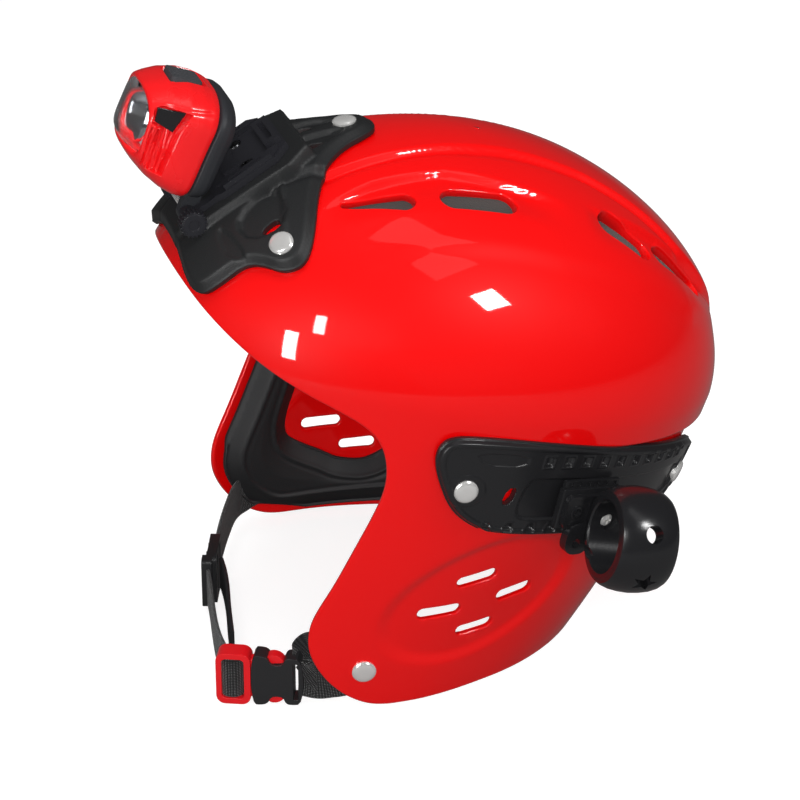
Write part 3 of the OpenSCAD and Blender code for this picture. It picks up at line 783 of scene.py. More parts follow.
BRACKET = [(0, 63), (6, 62), (11, 56), (16, 46), (26, 34.5), (39, 25.5), (53, 17), (62, 9), (65.5, 2),
           (63, -6), (56, -11), (51, -17), (49, -30), (45, -40), (36, -42.5), (18, -38), (0, -37)]
BRACKET_WINDOWS = [[(9, 42), (6, 31), (15, 31)], [(49, 3), (41, 6.5), (43.5, -6)]]
BRACKET_PANELS = [([(5, 52), (2, 40), (2, 28), (17, 28), (13, 42)], 2.6),
                  ([(26, 12), (40, 12), (49, 5), (46, -10), (34, -12), (27, -2)], 2.6),
                  ([(30, -15), (52, -13), (46, -22), (30, -20)], 1.3)]
PAD_OUTLINE = [(-24, -23), (24, -23), (26, 20), (20, 31), (-20, 31), (-26, 20)]


def mirrored(half):
    """Closed outline from its half on the positive side, first and last points on the mid line."""
    return half + [(-x, y) for x, y in half[-2:0:-1]]


def bracket_height(p, uv):
    """Thickness of the bracket over the shell: bevelled border, sunk panels, raised lamp seat."""
    q = seat_plane(p)
    flat = np.abs(q[:, :1]) * [1, 0] + q[:, 1:2] * [0, 1]
    edge = outline_distance(q[:, :2], smooth_line(mirrored(BRACKET), rounds=2))
    height = 2.6 + 3.4 * np.clip(edge / 3.6, 0, 1)
    for panel, depth in BRACKET_PANELS:
        inside = outline_distance(flat, smooth_line(panel, rounds=1))
        height = height - depth * np.clip(inside / 1.4, 0, 1)
    fold = np.abs(flat[:, 1] - 15.5 + 0.45 * (flat[:, 0] - 26)) / 1.6
    arm = ramp(flat[:, 0], 24, 26) * (1 - ramp(flat[:, 0], 50, 53))
    height = height + 1.3 * np.clip(1 - fold, 0, 1) * arm
    for th, z in BRACKET_RIVETS:
        boss = np.array(dome_point(np.array(float(th)), np.array(float(z))))
        away = np.linalg.norm(np.abs(p) * [1, 0, 0] + p * [0, 1, 1] - boss, axis=1)
        height = np.maximum(height, 3.6 * ramp(-away, -9.5, -8.0) + 0.8)
    rise = SEAT_W - q[:, 2]
    turn = np.array([0, -math.sqrt(0.5), math.sqrt(0.5)])
    rise = rise / np.clip(dome_normal(p) @ turn, 0.4, 1)
    seat = np.clip((outline_distance(q[:, :2], np.array(PAD_OUTLINE, float)) + 2.0) / 2.4, 0, 1)
    base = height + relief(p, uv) + LAY_GAP
    return base + seat * np.clip(rise - base, 0, None)


def build_bracket():
    """Three-armed lamp bracket that lies on the forehead."""
    outline = smooth_line(mirrored(BRACKET), rounds=2)
    windows = [smooth_line(w, rounds=2) for w in BRACKET_WINDOWS]

    def phi(p, th, z):
        q = seat_plane(p)
        flat = np.stack([np.abs(q[..., 0]), q[..., 1]], -1)
        inside = outline_distance(q[..., :2], outline)
        for w in windows:
            inside = np.minimum(inside, -outline_distance(flat, w))
        return inside

    z = CROWN * np.sin(np.radians(np.linspace(5, 87, 170)))
    slab("bracket_moulding", "front_bracket", "bracket_black", np.linspace(-48, 48, 230), z, phi,
         bracket_height, lambda p, uv: relief(p, uv) + LAY_GAP, 0.7)


# ---- lamp mount ----

PIN_R = 1.5


def either_side(side, near, far):
    """Low and high end of a stretch from near to far, on one side of the mid line."""
    return (near, far) if side > 0 else (-far, -near)


def build_base_plate():
    """Plate under the lamp: hinge ears, side rails, latch and sunk screw holes."""
    outline = [(-20, -12), (20, -12), (22, -8), (22, 20), (16, 28), (-16, 28), (-22, 20), (-22, -8)]
    low = SEAT_W + 0.1
    parts = [prism(SEAT, outline, low, low + 3.2)]
    for s in (1, -1):
        parts.append(prism(SEAT, [(s * 16.5, -6), (s * 21.5, -6), (s * 21.5, 19), (s * 16.5, 24)],
                           low + 1, low + 5.6))
        parts.append(box(SEAT, (s * 17.5 - 2.5, -26, low), (s * 17.5 + 2.5, -11, low + 2.6)))
        parts.append(rod(HINGE, 4.3, *either_side(s, 15.1, 19.9)))
    parts.append(box(SEAT, (-13, 19.5, low + 1), (13, 27, low + 6.5)))
    parts.append(box(SEAT, (-9, -3, low + 1), (9, 6, low + 4.4)))
    cuts = [box(SEAT, (-9.5, 21.8, low + 2.6), (9.5, 24.6, low + 9)),
            box(SEAT, (-4, 5, low + 3.4), (4, 9, low + 6)), rod(HINGE, PIN_R, -40, 40)]
    for x, half, y0, y1, r, floor in ((12, 3.9, 4.1, 11.9, 3.8, 2.2), (19, 1, -3, 15, 0.9, 4.2),
                                      (13.6, 0.8, -9, 2, 0.7, 1.8)):
        cuts += [prism(SEAT, rounded(s * x - half, y0, s * x + half, y1, r), low + floor, low + 9)
                 for s in (1, -1)]
    plate = hard_piece("base_plate_moulding", "lamp_base_plate", "plate_black", parts, cuts, 0.45)


def pan_head(place, r, rise):
    """Cross-recessed pan head on the place's XY plane."""
    curve = [(r * math.cos(math.radians(a)), rise * math.sin(math.radians(a))) for a in (0, 30, 60, 80)]
    head = lathe(place, [(0.02, -0.8)] + [(r, -0.8)] + curve + [(0.02, rise)], 40)
    long, wide = r * 0.6, 0.35
    cuts = [box(place, (-x, -y, rise * 0.45), (x, y, rise * 2)) for x, y in ((long, wide), (wide, long))]
    return combine([head], cuts)


def build_screws():
    """Two pan heads on the base plate and one on the carriage."""
    heads = joined([pan_head(SEAT @ moved(s * 12, 8, SEAT_W + 2.9), 3.3, 1.7) for s in (1, -1)])
    crisp(make_piece("plate_screw_heads", "base_screws", "dark_steel", *heads), 0.15)
    place = CARRIAGE @ moved(11.9, SCREW_Y, SCREW_Z) @ turned(90, "Y")
    crisp(make_piece("carriage_screw_head", "carriage_screw", "steel", *pan_head(place, 3.4, 1.7)), 0.15)


# ---- headlamp ----

# Cross sections from the seam to the rim: reach and height of the lower end, of the upper end, half width.
LAMP_FRONT = [(10.4, 0.4, 6.6, 43.6, 25.6), (10.8, -1.4, 7.0, 45.2, 27.4), (12.5, -2.2, 9.5, 46.2, 28.3),
              (17, -2.0, 14.6, 47.2, 28.6), (23, -0.2, 21, 47.2, 28.4), (29, 3.0, 28, 45.4, 27.4),
              (33.4, 6.4, 33.2, 42.8, 26), (36.2, 9.0, 36.4, 40.8, 25), (37.0, 10.4, 37.2, 39.6, 24),
              (36.6, 11.6, 36.8, 38.6, 22.6), (35.2, 12.2, 35.6, 38.2, 22.2), (22, 12.5, 22, 37.9, 21.6)]
LAMP_BACK = [(10.2, 0.6, 6.4, 43.4, 25.2), (9.6, -1.4, 5.8, 45, 27.2), (7.4, -1.8, 3.6, 45.2, 27.4),
             (4.2, -1.2, 0.6, 44.0, 26.8), (1.8, 0.6, -2.2, 41.8, 25.2), (0.9, 3.8, -3.4, 38.6, 22.5)]
WINDOW_FLOOR, GRILLE_FLOOR = 22.4, 24.6
WINDOW = [(36.0, 36.6), (20.5, 36.9), (24.6, 25.4), (35.2, 28.6)]
GRILLE = [(35.4, 25.8), (24.4, 22.6), (25.6, 7.4), (34.6, 8.6)]


def resample(rows, count):
    """Smooth rows through key rows of numbers."""
    rows = np.array(rows, float)
    reach = np.concatenate([[0], np.cumsum(np.linalg.norm(np.diff(rows, axis=0), axis=1))])
    at = np.linspace(0, reach[-1], count)
    return np.stack([np.interp(at, reach, rows[:, k]) for k in range(rows.shape[1])], 1)


def eased(rows, count, passes=3):
    """Resampled rows with their kinks rounded off, ends kept."""
    out = resample(rows, count)
    for _ in range(passes):
        out[1:-1] = (out[:-2] + 2 * out[1:-1] + out[2:]) / 4
    return out


def lamp_rings(rows, around, power, bulge):
    """Rings of the lamp body: superellipse rows between leaning planes, bowed forward by bulge."""
    a = np.linspace(0, 2 * math.pi, around, endpoint=False) + math.pi / around
    c, s = np.cos(a), np.sin(a)
    sideways = np.sign(c) * np.abs(c) ** (2 / power)
    height = (np.sign(s) * np.abs(s) ** (2 / power) + 1) / 2
    rings = []
    for (fb, zb, ft, zt, w), bow in zip(rows, bulge):
        f = fb + (ft - fb) * height + bow * (1 - sideways ** 2)
        crown = 7.0 * np.abs(sideways) ** 2.3 * ramp(height, 0.45, 1.0)
        rings.append(np.stack([w * sideways, -f, zb + (zt - zb) * height - crown], -1))
    return np.array(rings)


def cheek(rings):
    """Sinks the side windows and grilles, and rounds the cheeks behind them."""
    x, f, z = rings[..., 0], -rings[..., 1], rings[..., 2]
    side = ramp(np.abs(x), 17, 23.5)
    flat = np.stack([f, z], -1)
    window = ramp(outline_distance(flat, np.array(WINDOW)), -0.5, 0.5)
    grille = ramp(outline_distance(flat, np.array(GRILLE)), -0.5, 0.5)
    ribs = ramp(np.sin(f * 2 * math.pi / 3.1), -0.5, 0.5)
    front = ramp(f, 19, 30) * (1 - ramp(z, 35, 40))
    reach = np.abs(x)
    sink = side * (window * np.clip(reach - WINDOW_FLOOR, 0, None)
                   + grille * np.clip(reach - GRILLE_FLOOR + 2.0 * ribs, 0, None) + 0.8 * front)
    crease_line = np.exp(-((z - 38.5 + 0.1 * (f - 18)) / 0.9) ** 2)
    sink = sink + 0.55 * side * crease_line * ramp(f, 8, 12) * (1 - ramp(f, 30, 34))
    out = rings.copy()
    out[..., 0] = x - np.sign(x) * sink
    top = ramp(z, 40, 43)
    above = np.stack([x, f], -1)
    latch = np.array([(-6, 8.6), (6, 8.6), (6, 11.2), (-6, 11.2)])
    slot = ramp(outline_distance(above, latch), -0.4, 0.4)
    seat = ramp(outline_distance(above, np.array(rounded(-9.6, 12.6, 9.6, 28.8, 2.4))), -0.7, 0.5)
    out[..., 2] = z - top * (2.2 * slot + 2.6 * seat)
    return out


def lamp_shell(name, node, look, key_rows, count, around, bulge_to):
    """One half of the lamp body, from its key key_rows."""
    rows = eased(key_rows, count)
    bulge = bulge_to * ramp(rows[:, 0], 20, 36)
    rings = cheek(lamp_rings(rows, around, 6.4, bulge))
    return mark_sharp(make_piece(name, node, look, in_frame(LAMP, rings.reshape(-1, 3)), skin(rings)), 50)


def lens_sheet(reach, power=6.0, steps=26):
    """Bowed clear sheet over the front opening."""
    u = np.linspace(-1, 1, steps)
    a, b = np.meshgrid(u, u, indexing="ij")
    x = 22.0 * a * np.sqrt(1 - 0.22 * b ** 2)
    t = 0.5 + 0.5 * b * np.sqrt(1 - 0.22 * a ** 2)
    dome = (1 - np.abs(a) ** power) * (1 - np.abs(b) ** power)
    f = 35.0 + 0.4 * t + 3.4 * (1 - (x / 24) ** 2) + (reach + 3.0 * (1 - t)) * dome
    return np.stack([x, -f, 11.4 + 27.4 * t], -1)


def build_lens():
    """Clear moulding between an outer and an inner sheet."""
    outer, inner = lens_sheet(2.0), lens_sheet(0.6) + [0, 2.0, 0]
    steps = outer.shape[0]
    ids = np.arange(steps * steps).reshape(steps, steps)
    quads = np.stack([ids[:-1, :-1], ids[1:, :-1], ids[1:, 1:], ids[:-1, 1:]], -1).reshape(-1, 4)
    n = steps * steps
    border = np.concatenate([ids[:-1, 0], ids[-1, :-1], ids[:0:-1, -1], ids[0, :0:-1]])
    nxt = np.roll(border, -1)
    faces = quads.tolist() + (quads[:, ::-1] + n).tolist()
    faces += np.stack([nxt, border, border + n, nxt + n], 1).tolist()
    verts = in_frame(LAMP, np.concatenate([outer.reshape(-1, 3), inner.reshape(-1, 3)]))
    mark_sharp(make_piece("lens_moulding", "lamp_lens", "clear", verts, faces), 50)


def build_lamp():
    """Front and back housings, the hinge arms and what the lens and windows show."""
    lamp_shell("lamp_front_moulding", "lamp_front_housing", "lamp_red", LAMP_FRONT, 130, 400, 2.6)
    lamp_shell("lamp_back_moulding", "lamp_back_housing", "lamp_black", LAMP_BACK, 40, 200, 0.0)
    arms = []
    for s in (1, -1):
        arms.append(rod(HINGE, 4.0, *either_side(s, 9.6, 14.4)))
        arms.append(box(LAMP_TURN, (s * 12 - 2.4, -135, 46), (s * 12 + 2.4, -127, 60)))
    hard_piece("lamp_arms", "lamp_back_housing", "lamp_black", arms, [rod(HINGE, PIN_R, -40, 40)])
    build_lens()
    build_reflector()
    build_button()
    build_windows()


def build_reflector():
    """Bright cup, the LED in its middle and the white frame round it."""
    place = LAMP @ moved(0, -27.5, 25.2) @ turned(90, "X")
    bowl = [(2.4 + 9.4 * k / 10, 8.2 * (k / 10) ** 1.7) for k in range(11)]
    profile = bowl + [(12.6, 8.3), (12.4, 7.4)] + [(r + 0.9, h - 0.7) for r, h in bowl[::-1]]
    make_piece("reflector_cup", "lamp_reflector", "chrome", *lathe(place, profile, 64))
    dome = [(0.02, -0.6), (2.3, -0.6), (2.3, 0.4)]
    dome += [(1.9 * math.cos(a), 0.4 + 1.5 * math.sin(a)) for a in map(math.radians, (0, 30, 60))]
    dome += [(0.02, 1.95)]
    make_piece("led_dome", "lamp_led", "led", *lathe(place, dome, 32))
    tray = prism(place, rounded(-20.5, -12.5, 20.5, 12.5, 3), 5.0, 6.4)
    hole = rod(place, 12.0, 0, 12, count=64)
    hard_piece("lamp_tray", "lamp_reflector", "tray", [tray], [hole], 0.2)


def build_button():
    """Rubber button with seven ribs."""
    place = LAMP @ moved(0, -20.8, 43.9)
    cap = prism(place, rounded(-8.8, -7.4, 8.8, 7.4, 2.0), -1.0, 2.9, 0.05)
    ribs = [box(place, (i * 2.2 - 0.5, -6.0, 2.7), (i * 2.2 + 0.5, 6.0, 3.2)) for i in range(-3, 4)]
    hard_piece("button_cap", "lamp_button", "button_rubber", [cap] + ribs, [], 0.35)


def build_windows():
    """Smoked pane in each cheek."""
    place = LAMP @ turned(90, "Z") @ turned(90, "X")
    pane = [(-35.0, 35.8), (-21.8, 36.2), (-25.2, 26.4), (-34.4, 29.4)]
    panes = [prism(place, pane, s * 22.0, s * 23.3) for s in (1, -1)]
    crisp(make_piece("side_window_panes", "lamp_side_window", "smoked", *joined(panes)), 0.2)


def build_thumbwheel():
    """Knurled wheel on the hinge pin."""
    teeth = 20
    outline = []
    for i in range(teeth * 4):
        r = 6.3 if i % 4 in (1, 2) else 5.5
        a = 2 * math.pi * (i + 0.1 * (i % 2)) / (teeth * 4)
        outline.append((r * math.cos(a), r * math.sin(a)))
    parts = [prism(HINGE, outline, 22.6, 28.4), rod(HINGE, 5.0, 22.0, 29.2)]
    cuts = [rod(HINGE, PIN_R, 10, 25), rod(HINGE, 2.6, 28.4, 31)]
    hard_piece("wheel_knurled", "thumbwheel", "plate_black", parts, cuts, 0.25)


# ---- side rails and torch holder ----

RAIL_LOW = [(79, -20), (81, -30), (84, -41), (88, -48), (94, -53), (120, -54.5), (140, -51), (149, -47),
            (154, -42)]
RAIL_HIGH = [(79, -12), (81, -7), (86, -5.5), (100, -6), (112, -8), (125, -11), (143, -16), (152, -20.5),
             (154.5, -25)]
ARC = 2.05


def rail_plane(th, z):
    """Rail surface unrolled to millimetres."""
    return np.stack([np.abs(th) * ARC, z + 0 * th], -1)


def rail_line(points):
    """Outline in degrees and height, unrolled."""
    return [(a * ARC, z) for a, z in points]


def rail_height(p, uv):
    """Bevelled frame, sunk panel, channel and two rows of adjustment slots."""
    q = rail_plane(uv[:, 0], uv[:, 1])
    outline = smooth_line(rail_line(RAIL_LOW + RAIL_HIGH[::-1]), rounds=2)
    edge = outline_distance(q, outline)
    height = 2.9 + 2.5 * ramp(edge, 0.2, 2.2) - 0.9 * ramp(edge, 3.2, 4.0)
    channel = rail_line([(97, -43), (101, -45.5), (143, -44), (146, -40), (146, -30), (142, -27.5),
                         (101, -23), (98, -25)])
    height = height - 1.2 * ramp(outline_distance(q, smooth_line(channel, rounds=2)), -0.2, 1.0)
    front = rail_line([(86, -12), (97, -12), (97, -18), (88, -18)])
    height = height - 0.7 * ramp(outline_distance(q, smooth_line(front, rounds=1)), -0.2, 0.5)
    upper = [((101.5 + i * 4.3, -15.4 - 0.055 * i * i), (1.35, 2.0), 0.0, 2.3, 0.5) for i in range(10)]
    lower = [((92 + i * 4.9, -48.6), (1.5, 1.9), 0.3, 2.2, 0.4) for i in range(5)]
    for (th, z), half, slant, depth, lip in upper + lower:
        off = q - [th * ARC, z]
        inside = -np.maximum(np.abs(off[:, 0]) - half[0] + slant * off[:, 1], np.abs(off[:, 1]) - half[1])
        height = height - depth * ramp(inside, -0.5, 0.4) + lip * np.exp(-((inside + 0.8) / 0.4) ** 2)
    for th, z in RAIL_RIVETS:
        away = np.linalg.norm(q - [th * ARC, z], axis=1)
        height = height + 0.5 * ramp(-away, -8.2, -7.4)
    step = ledge(uv[:, 0], uv[:, 1]) - ledge(uv[:, 0], np.full(len(uv), -20.0))
    return height + LAY_GAP + np.maximum(step, 1.2 - height)


def side_span(side, low, high, count):
    """Name of a side, and degrees over the shell's surface on that side."""
    spans = np.linspace(low, high, count)
    return ("left", spans) if side > 0 else ("right", -spans[::-1])


def build_rail(side):
    """Accessory rail on one side, with its small window."""
    outline = smooth_line(rail_line(RAIL_LOW + RAIL_HIGH[::-1]), rounds=2)
    window = smooth_line(rail_line([(94.4, -29), (96.4, -28.6), (95.8, -37), (93.8, -37)]), rounds=1)

    def phi(p, th, z):
        q = rail_plane(th, z)
        return np.minimum(outline_distance(q, outline), -outline_distance(q, window))

    hand, th = side_span(side, 78, 156, 300)
    slab("rail_moulding_" + hand, "side_rail_" + hand, "rail_black", th, np.linspace(-56, -4, 150), phi,
         rail_height, lambda p, uv: np.full(len(p), LAY_GAP), 0.6)


def build_carriage():
    """Carriage in the left rail, with ribs on its upper edge."""
    side = CARRIAGE @ turned(90, "Y")
    parts = [box(CARRIAGE, (1.6, -16, -9), (5.0, 17, 10)), box(CARRIAGE, (-0.9, -9, -4), (2.2, 9, 4)),
             box(CARRIAGE, (1.4, -15, 9), (3.4, 16, 13.5))]
    cuts = [rod(side, 1.6, 1, 22, 2, 6, 32), prism(CARRIAGE, [(4.2, -17), (6, -17), (6, -13)], -20, 20)]
    cuts += [box(CARRIAGE, (2.4, -13 + i * 5.0, 10.6), (9, -10.4 + i * 5.0, 12.6)) for i in range(6)]
    hard_piece("carriage_moulding", "torch_carriage", "rail_black", parts, cuts, 0.7)


def star(outer, inner):
    """Generic five-pointed outline."""
    corners = [(inner if i % 2 else outer, math.radians(i * 36)) for i in range(10)]
    return [(r * math.sin(a), r * math.cos(a)) for r, a in corners]


def build_ring():
    """Barrel with a smooth bore, three cut-outs through its wall, and its mounting tab and eyelet."""
    turn = RING @ turned(90, "X")
    rear = [(16.0, -13.3), (16.7, -14), (19.0, -14), (20.6, -13.5), (21.9, -11.6), (23.0, -8.5),
            (23.7, -4.5)]
    outer = rear + [(24.0, 0)] + [(r, -z) for r, z in rear[::-1]]
    side = CARRIAGE @ turned(90, "Y")
    parts = [lathe(turn, outer, 120), box(CARRIAGE, (5.4, -1, -9), (11.4, 13, 4.5)),
             prism(side, rounded(-8, -15, 8, 6, 3.2), 5.35, 8.3),
             prism(side, rounded(5, -11.5, 20.5, 3, 6.0), 5.5, 9.7)]
    cuts = [rod(turn, 16.0, -13, 13, count=120), rod(side, 1.6, 4, 20, 2, 6, 32),
            rod(side, 3.9, 11.4, 25, 2, 6, 40), rod(side, 2.0, 3, 20, 0, -8, 32),
            rod(side, 2.4, 3, 20, 15, -5, 32),
            prism(side, rounded(-6.6, -13.6, 6.6, -2.4, 2.4), 7.8, 9)]
    openings = ((58, 0, circle(4.1)), (158, 3, circle(3.6)), (118, 1.2, star(6.2, 2.7)))
    for angle, shift, outline in openings:
        place = RING @ turned(angle, "Y") @ moved(0, shift, 0)
        cuts.append(prism(place @ turned(11, "Z"), outline, 12, 30))
    hard_piece("ring_moulding", "torch_ring", "ring_black", parts, cuts, 0.45, angle=38)
    lip = lathe(CARRIAGE @ moved(7.4, -8, 0) @ turned(90, "Y"),
                [(2.0, 0), (3.4, 0), (3.4, 0.6), (3.0, 0.9), (2.0, 0.9)], 40)
    mark_sharp(make_piece("ring_tab_lip", "torch_ring", "ring_black", *lip), 40)


# ---- padding ----

PAD_NOTCH = [(-20, -60), (-20, -80), (-22, -92), (-22, -101), (-19, -107), (-10, -110), (2, -112.5),
             (10, -115), (28, -113), (44, -96), (56, -84), (62, -70), (58, -55)]
# The left pad stops above this line, so the buckle's loop can swing up beside it.
PAD_CORNER = (np.array([-42, -110]), np.array([-20, -125]))
PAD_INSET, PAD_BACK, PAD_TOP = 3.4, 76, -30
LINER_OUT, LINER_IN = -WALL - 2.2, -WALL - 9


def above_line(q, ends):
    """Distance of points q (y, z) above the line through two ends, negative below it."""
    along = (ends[1] - ends[0]) / np.linalg.norm(ends[1] - ends[0])
    off = q - ends[0]
    return along[0] * off[..., 1] - along[1] * off[..., 0]


def build_ear_pad(side):
    """Moulded EVA pad with a raised inner face, a bevelled border and a notch round the ear slots."""
    rim = shell_outline()
    notch = smooth_line(PAD_NOTCH, rounds=3)

    def phi(p, th, z):
        q = p[..., 1:]
        inside = np.minimum(outline_distance(q, rim) - PAD_INSET,
                            np.minimum(PAD_BACK - q[..., 0], PAD_TOP - q[..., 1]))
        if side > 0:
            inside = np.minimum(inside, above_line(q, PAD_CORNER))
        return np.minimum(inside, -outline_distance(q, notch))

    def inner(p, uv):
        edge = phi(p, None, None)
        bevel = 6.6 * np.clip(edge / 8.5, 0, 1) ** 0.9
        crest = 0.5 * np.exp(-((edge - 8.5) / 0.8) ** 2) - 0.6 * np.exp(-((edge - 10.6) / 0.9) ** 2)
        return -(WALL + 3.4 + bevel + crest + 1.2 * ramp(edge, 11, 24))

    def outer_face(p, uv):
        return -(WALL + 0.5 + 2.6 * ramp(-p[:, 2], 108, 116))

    hand, th = side_span(side, 50, 150, 200)
    slab("ear_pad_foam_" + hand, "ear_pad_" + hand, "foam_black", th, np.linspace(-142, -28, 170), phi,
         outer_face, inner, 1.2)


def build_liner():
    """Crown liner in quilted foam, its brow band and the nape pad."""
    def quilt(p, uv):
        seams = np.abs(np.sin(np.radians(uv[:, 0]) * 4)) ** 0.5
        return LINER_OUT - 7 + 2.2 * (1 - seams) - 0.5 * np.sin(p[:, 2] / 6)

    def outside(p, uv):
        return np.full(len(p), LINER_OUT)

    def inside(p, uv):
        return np.full(len(p), LINER_IN)

    z = CROWN * np.sin(np.radians(np.concatenate([np.linspace(17.5, 86, 60), [88, 89.9]])))
    slab("liner_crown_foam", "liner_crown", "foam_grey", np.linspace(-180, 180, 241), z,
         lambda p, th, h: h - 29 + 0 * th, outside, quilt, 1.5, wrap=True)
    brow = smooth_line([(-40, 14), (-20, 22), (0, 25), (20, 22), (40, 14), (40, 28), (-40, 28)], rounds=2)
    slab("liner_front_foam", "liner_front", "foam_black", np.linspace(-42, 42, 130),
         np.linspace(12, 30, 30), lambda p, th, h: outline_distance(np.stack([th, h + 0 * th], -1), brow),
         outside, inside, 1.2)

    def nape(p, th, h):
        turn = 180 - np.abs(th)
        edge = np.minimum(np.minimum((38 - turn) * 1.9, h + 94), -20 - h)
        return np.minimum(edge, (178 - np.abs(th)) * 1.9)

    for side in (1, -1):
        hand, span = side_span(side, 140, 180, 60)
        slab("liner_nape_foam_" + hand, "liner_rear", "foam_black", span, np.linspace(-97, -18, 60), nape,
             outside, inside, 2.0)


# ---- chin strap ----

def spline(points, count):
    """Smooth path through key points (Catmull-Rom)."""
    p = np.array(points, float)
    p = np.concatenate([[2 * p[0] - p[1]], p, [2 * p[-1] - p[-2]]])
    out = []
    spans = len(p) - 3
    for k in range(count):
        s = min(k * spans / (count - 1), spans - 1e-6)
        i, t = int(s), s - int(s)
        a, b, c, d = p[i:i + 4]
        out.append(0.5 * (2 * b + (c - a) * t + (2 * a - 5 * b + 4 * c - d) * t ** 2
                          + (3 * b - a - 3 * c + d) * t ** 3))
    return np.array(out)


def webbing(name, node, path, widths, look="webbing", thick=1.7):
    """Flat woven band along a row-frame path, its width upright."""
    count = 140
    centre = spline(path, count)
    width = np.interp(np.linspace(0, 1, count), np.linspace(0, 1, len(widths)), widths)
    along = np.gradient(centre, axis=0)
    along /= np.linalg.norm(along, axis=1, keepdims=True)
    wide = np.tile([0.0, 0.0, 1.0], (count, 1))
    wide -= (wide * along).sum(1, keepdims=True) * along
    wide /= np.linalg.norm(wide, axis=1, keepdims=True)
    out = np.cross(along, wide)
    edge = [(-1, -0.1), (-0.985, -0.36), (-0.93, -0.5), (-0.5, -0.5)]
    half = edge + [(0, -0.52)] + [(-x, y) for x, y in edge[::-1]]
    section = np.array(half + [(x, -y) for x, y in half[::-1]])
    rings = (centre[:, None] + wide[:, None] * (section[None, :, :1] * width[:, None, None] / 2)
             + out[:, None] * section[None, :, 1:] * thick)
    obj = make_piece(name, node, look, rings.reshape(-1, 3) * MM, skin(rings))
    reach = np.concatenate([[0], np.cumsum(np.linalg.norm(np.diff(centre, axis=0), axis=1))])
    u = np.repeat(reach, len(section)) * MM
    v = (section[:, 0][None] * width[:, None] / 2).ravel() * MM
    layer = obj.data.uv_layers.new(name="weave")
    at = [loop.vertex_index for loop in obj.data.loops]
    layer.data.foreach_set("uv", np.stack([u[at], v[at]], 1).ravel())
    return mark_sharp(obj, 50)


def build_straps():
    """Webbing from both ear rivets to the buckle, and its loose tail."""
    near = [(91.5, -52, 18), (91.5, -60, 17), (90.8, -66.5, 15), (88.6, -72.5, 13.4), (86.4, -79, 12.6),
            (82.2, -86, 13)]
    webbing("near_webbing", "near_strap", near, [19, 20, 20, 20, 19.4])
    loop = [(86.5, -84.5, 14), (86.3, -79.5, 17), (84, -77, 22), (80.6, -78.2, 24.5), (79, -81.5, 21),
            (80.6, -85.2, 17)]
    webbing("near_loop", "near_strap", loop, [16, 19, 19, 19, 16])
    upper = [(-92.2, -53, 21), (-92.2, -60, 19.6), (-89.8, -67.2, 17.6), (-83.6, -74.8, 16.5),
             (-66, -83.5, 16), (-45, -92, 16), (-27, -98.3, 16), (-16, -102, 16)]
    webbing("far_webbing_upper", "far_strap_upper", upper, [20, 20, 20, 20, 20])
    lower = [(-24, -102.8, 15), (-12, -106, 14.6), (5, -108.6, 14), (22, -111.5, 13.4), (40, -114.2, 13),
             (52, -115.2, 13), (62.5, -115.2, 13)]
    webbing("far_webbing_lower", "far_strap_lower", lower, [20, 20, 20])
    around_bar = [(28.9, -8.5), (28.7, -3), (29.0, 1.6), (31, 3.6), (33.2, 4.0), (35.4, 3.6), (37.0, 1.6),
                  (37.2, -3), (37.0, -7.5)]
    wrap = [BUCKLE @ Vector((x, y, 0)) for x, y in around_bar]
    webbing("bar_wrap", "far_strap_lower", wrap, [19.4, 19.4], thick=1.8)
    tail = [(-14, -98.6, 17.5), (-2, -99.8, 17.5), (12, -102, 17), (30, -105.6, 15.6), (50, -109.2, 14.5)]
    webbing("tail_strip", "strap_tail", tail, [17, 17.6, 17.6, 17], "smooth_tape", 2.0)


def build_ladder_lock():
    """Strap adjuster with two windows and a ribbed lip."""
    face = moved(-22, -100.5, 16) @ turned(-19, "Z") @ turned(90, "X")
    parts = [prism(face, rounded(-13, -12.8, 13, 12.8, 2.5), -2.4, 2.4),
             rod(face @ turned(90, "X"), 2.6, -12.6, 12.6, -1.5, 0),
             prism(face, rounded(8.5, -12.8, 16.5, 12.8, 2.0), -0.6, 4.4)]
    cuts = [prism(face, rounded(x0, -10.6, x1, 10.6, 1), -9, 9) for x0, x1 in ((-9, -4.4), (2.4, 7.2))]
    cuts += [box(face, (10 + i * 1.7, -9.5, 4.0), (10.7 + i * 1.7, 9.5, 6)) for i in range(3)]
    hard_piece("ladder_lock_moulding", "ladder_lock", "buckle_black", parts, cuts, 0.5)


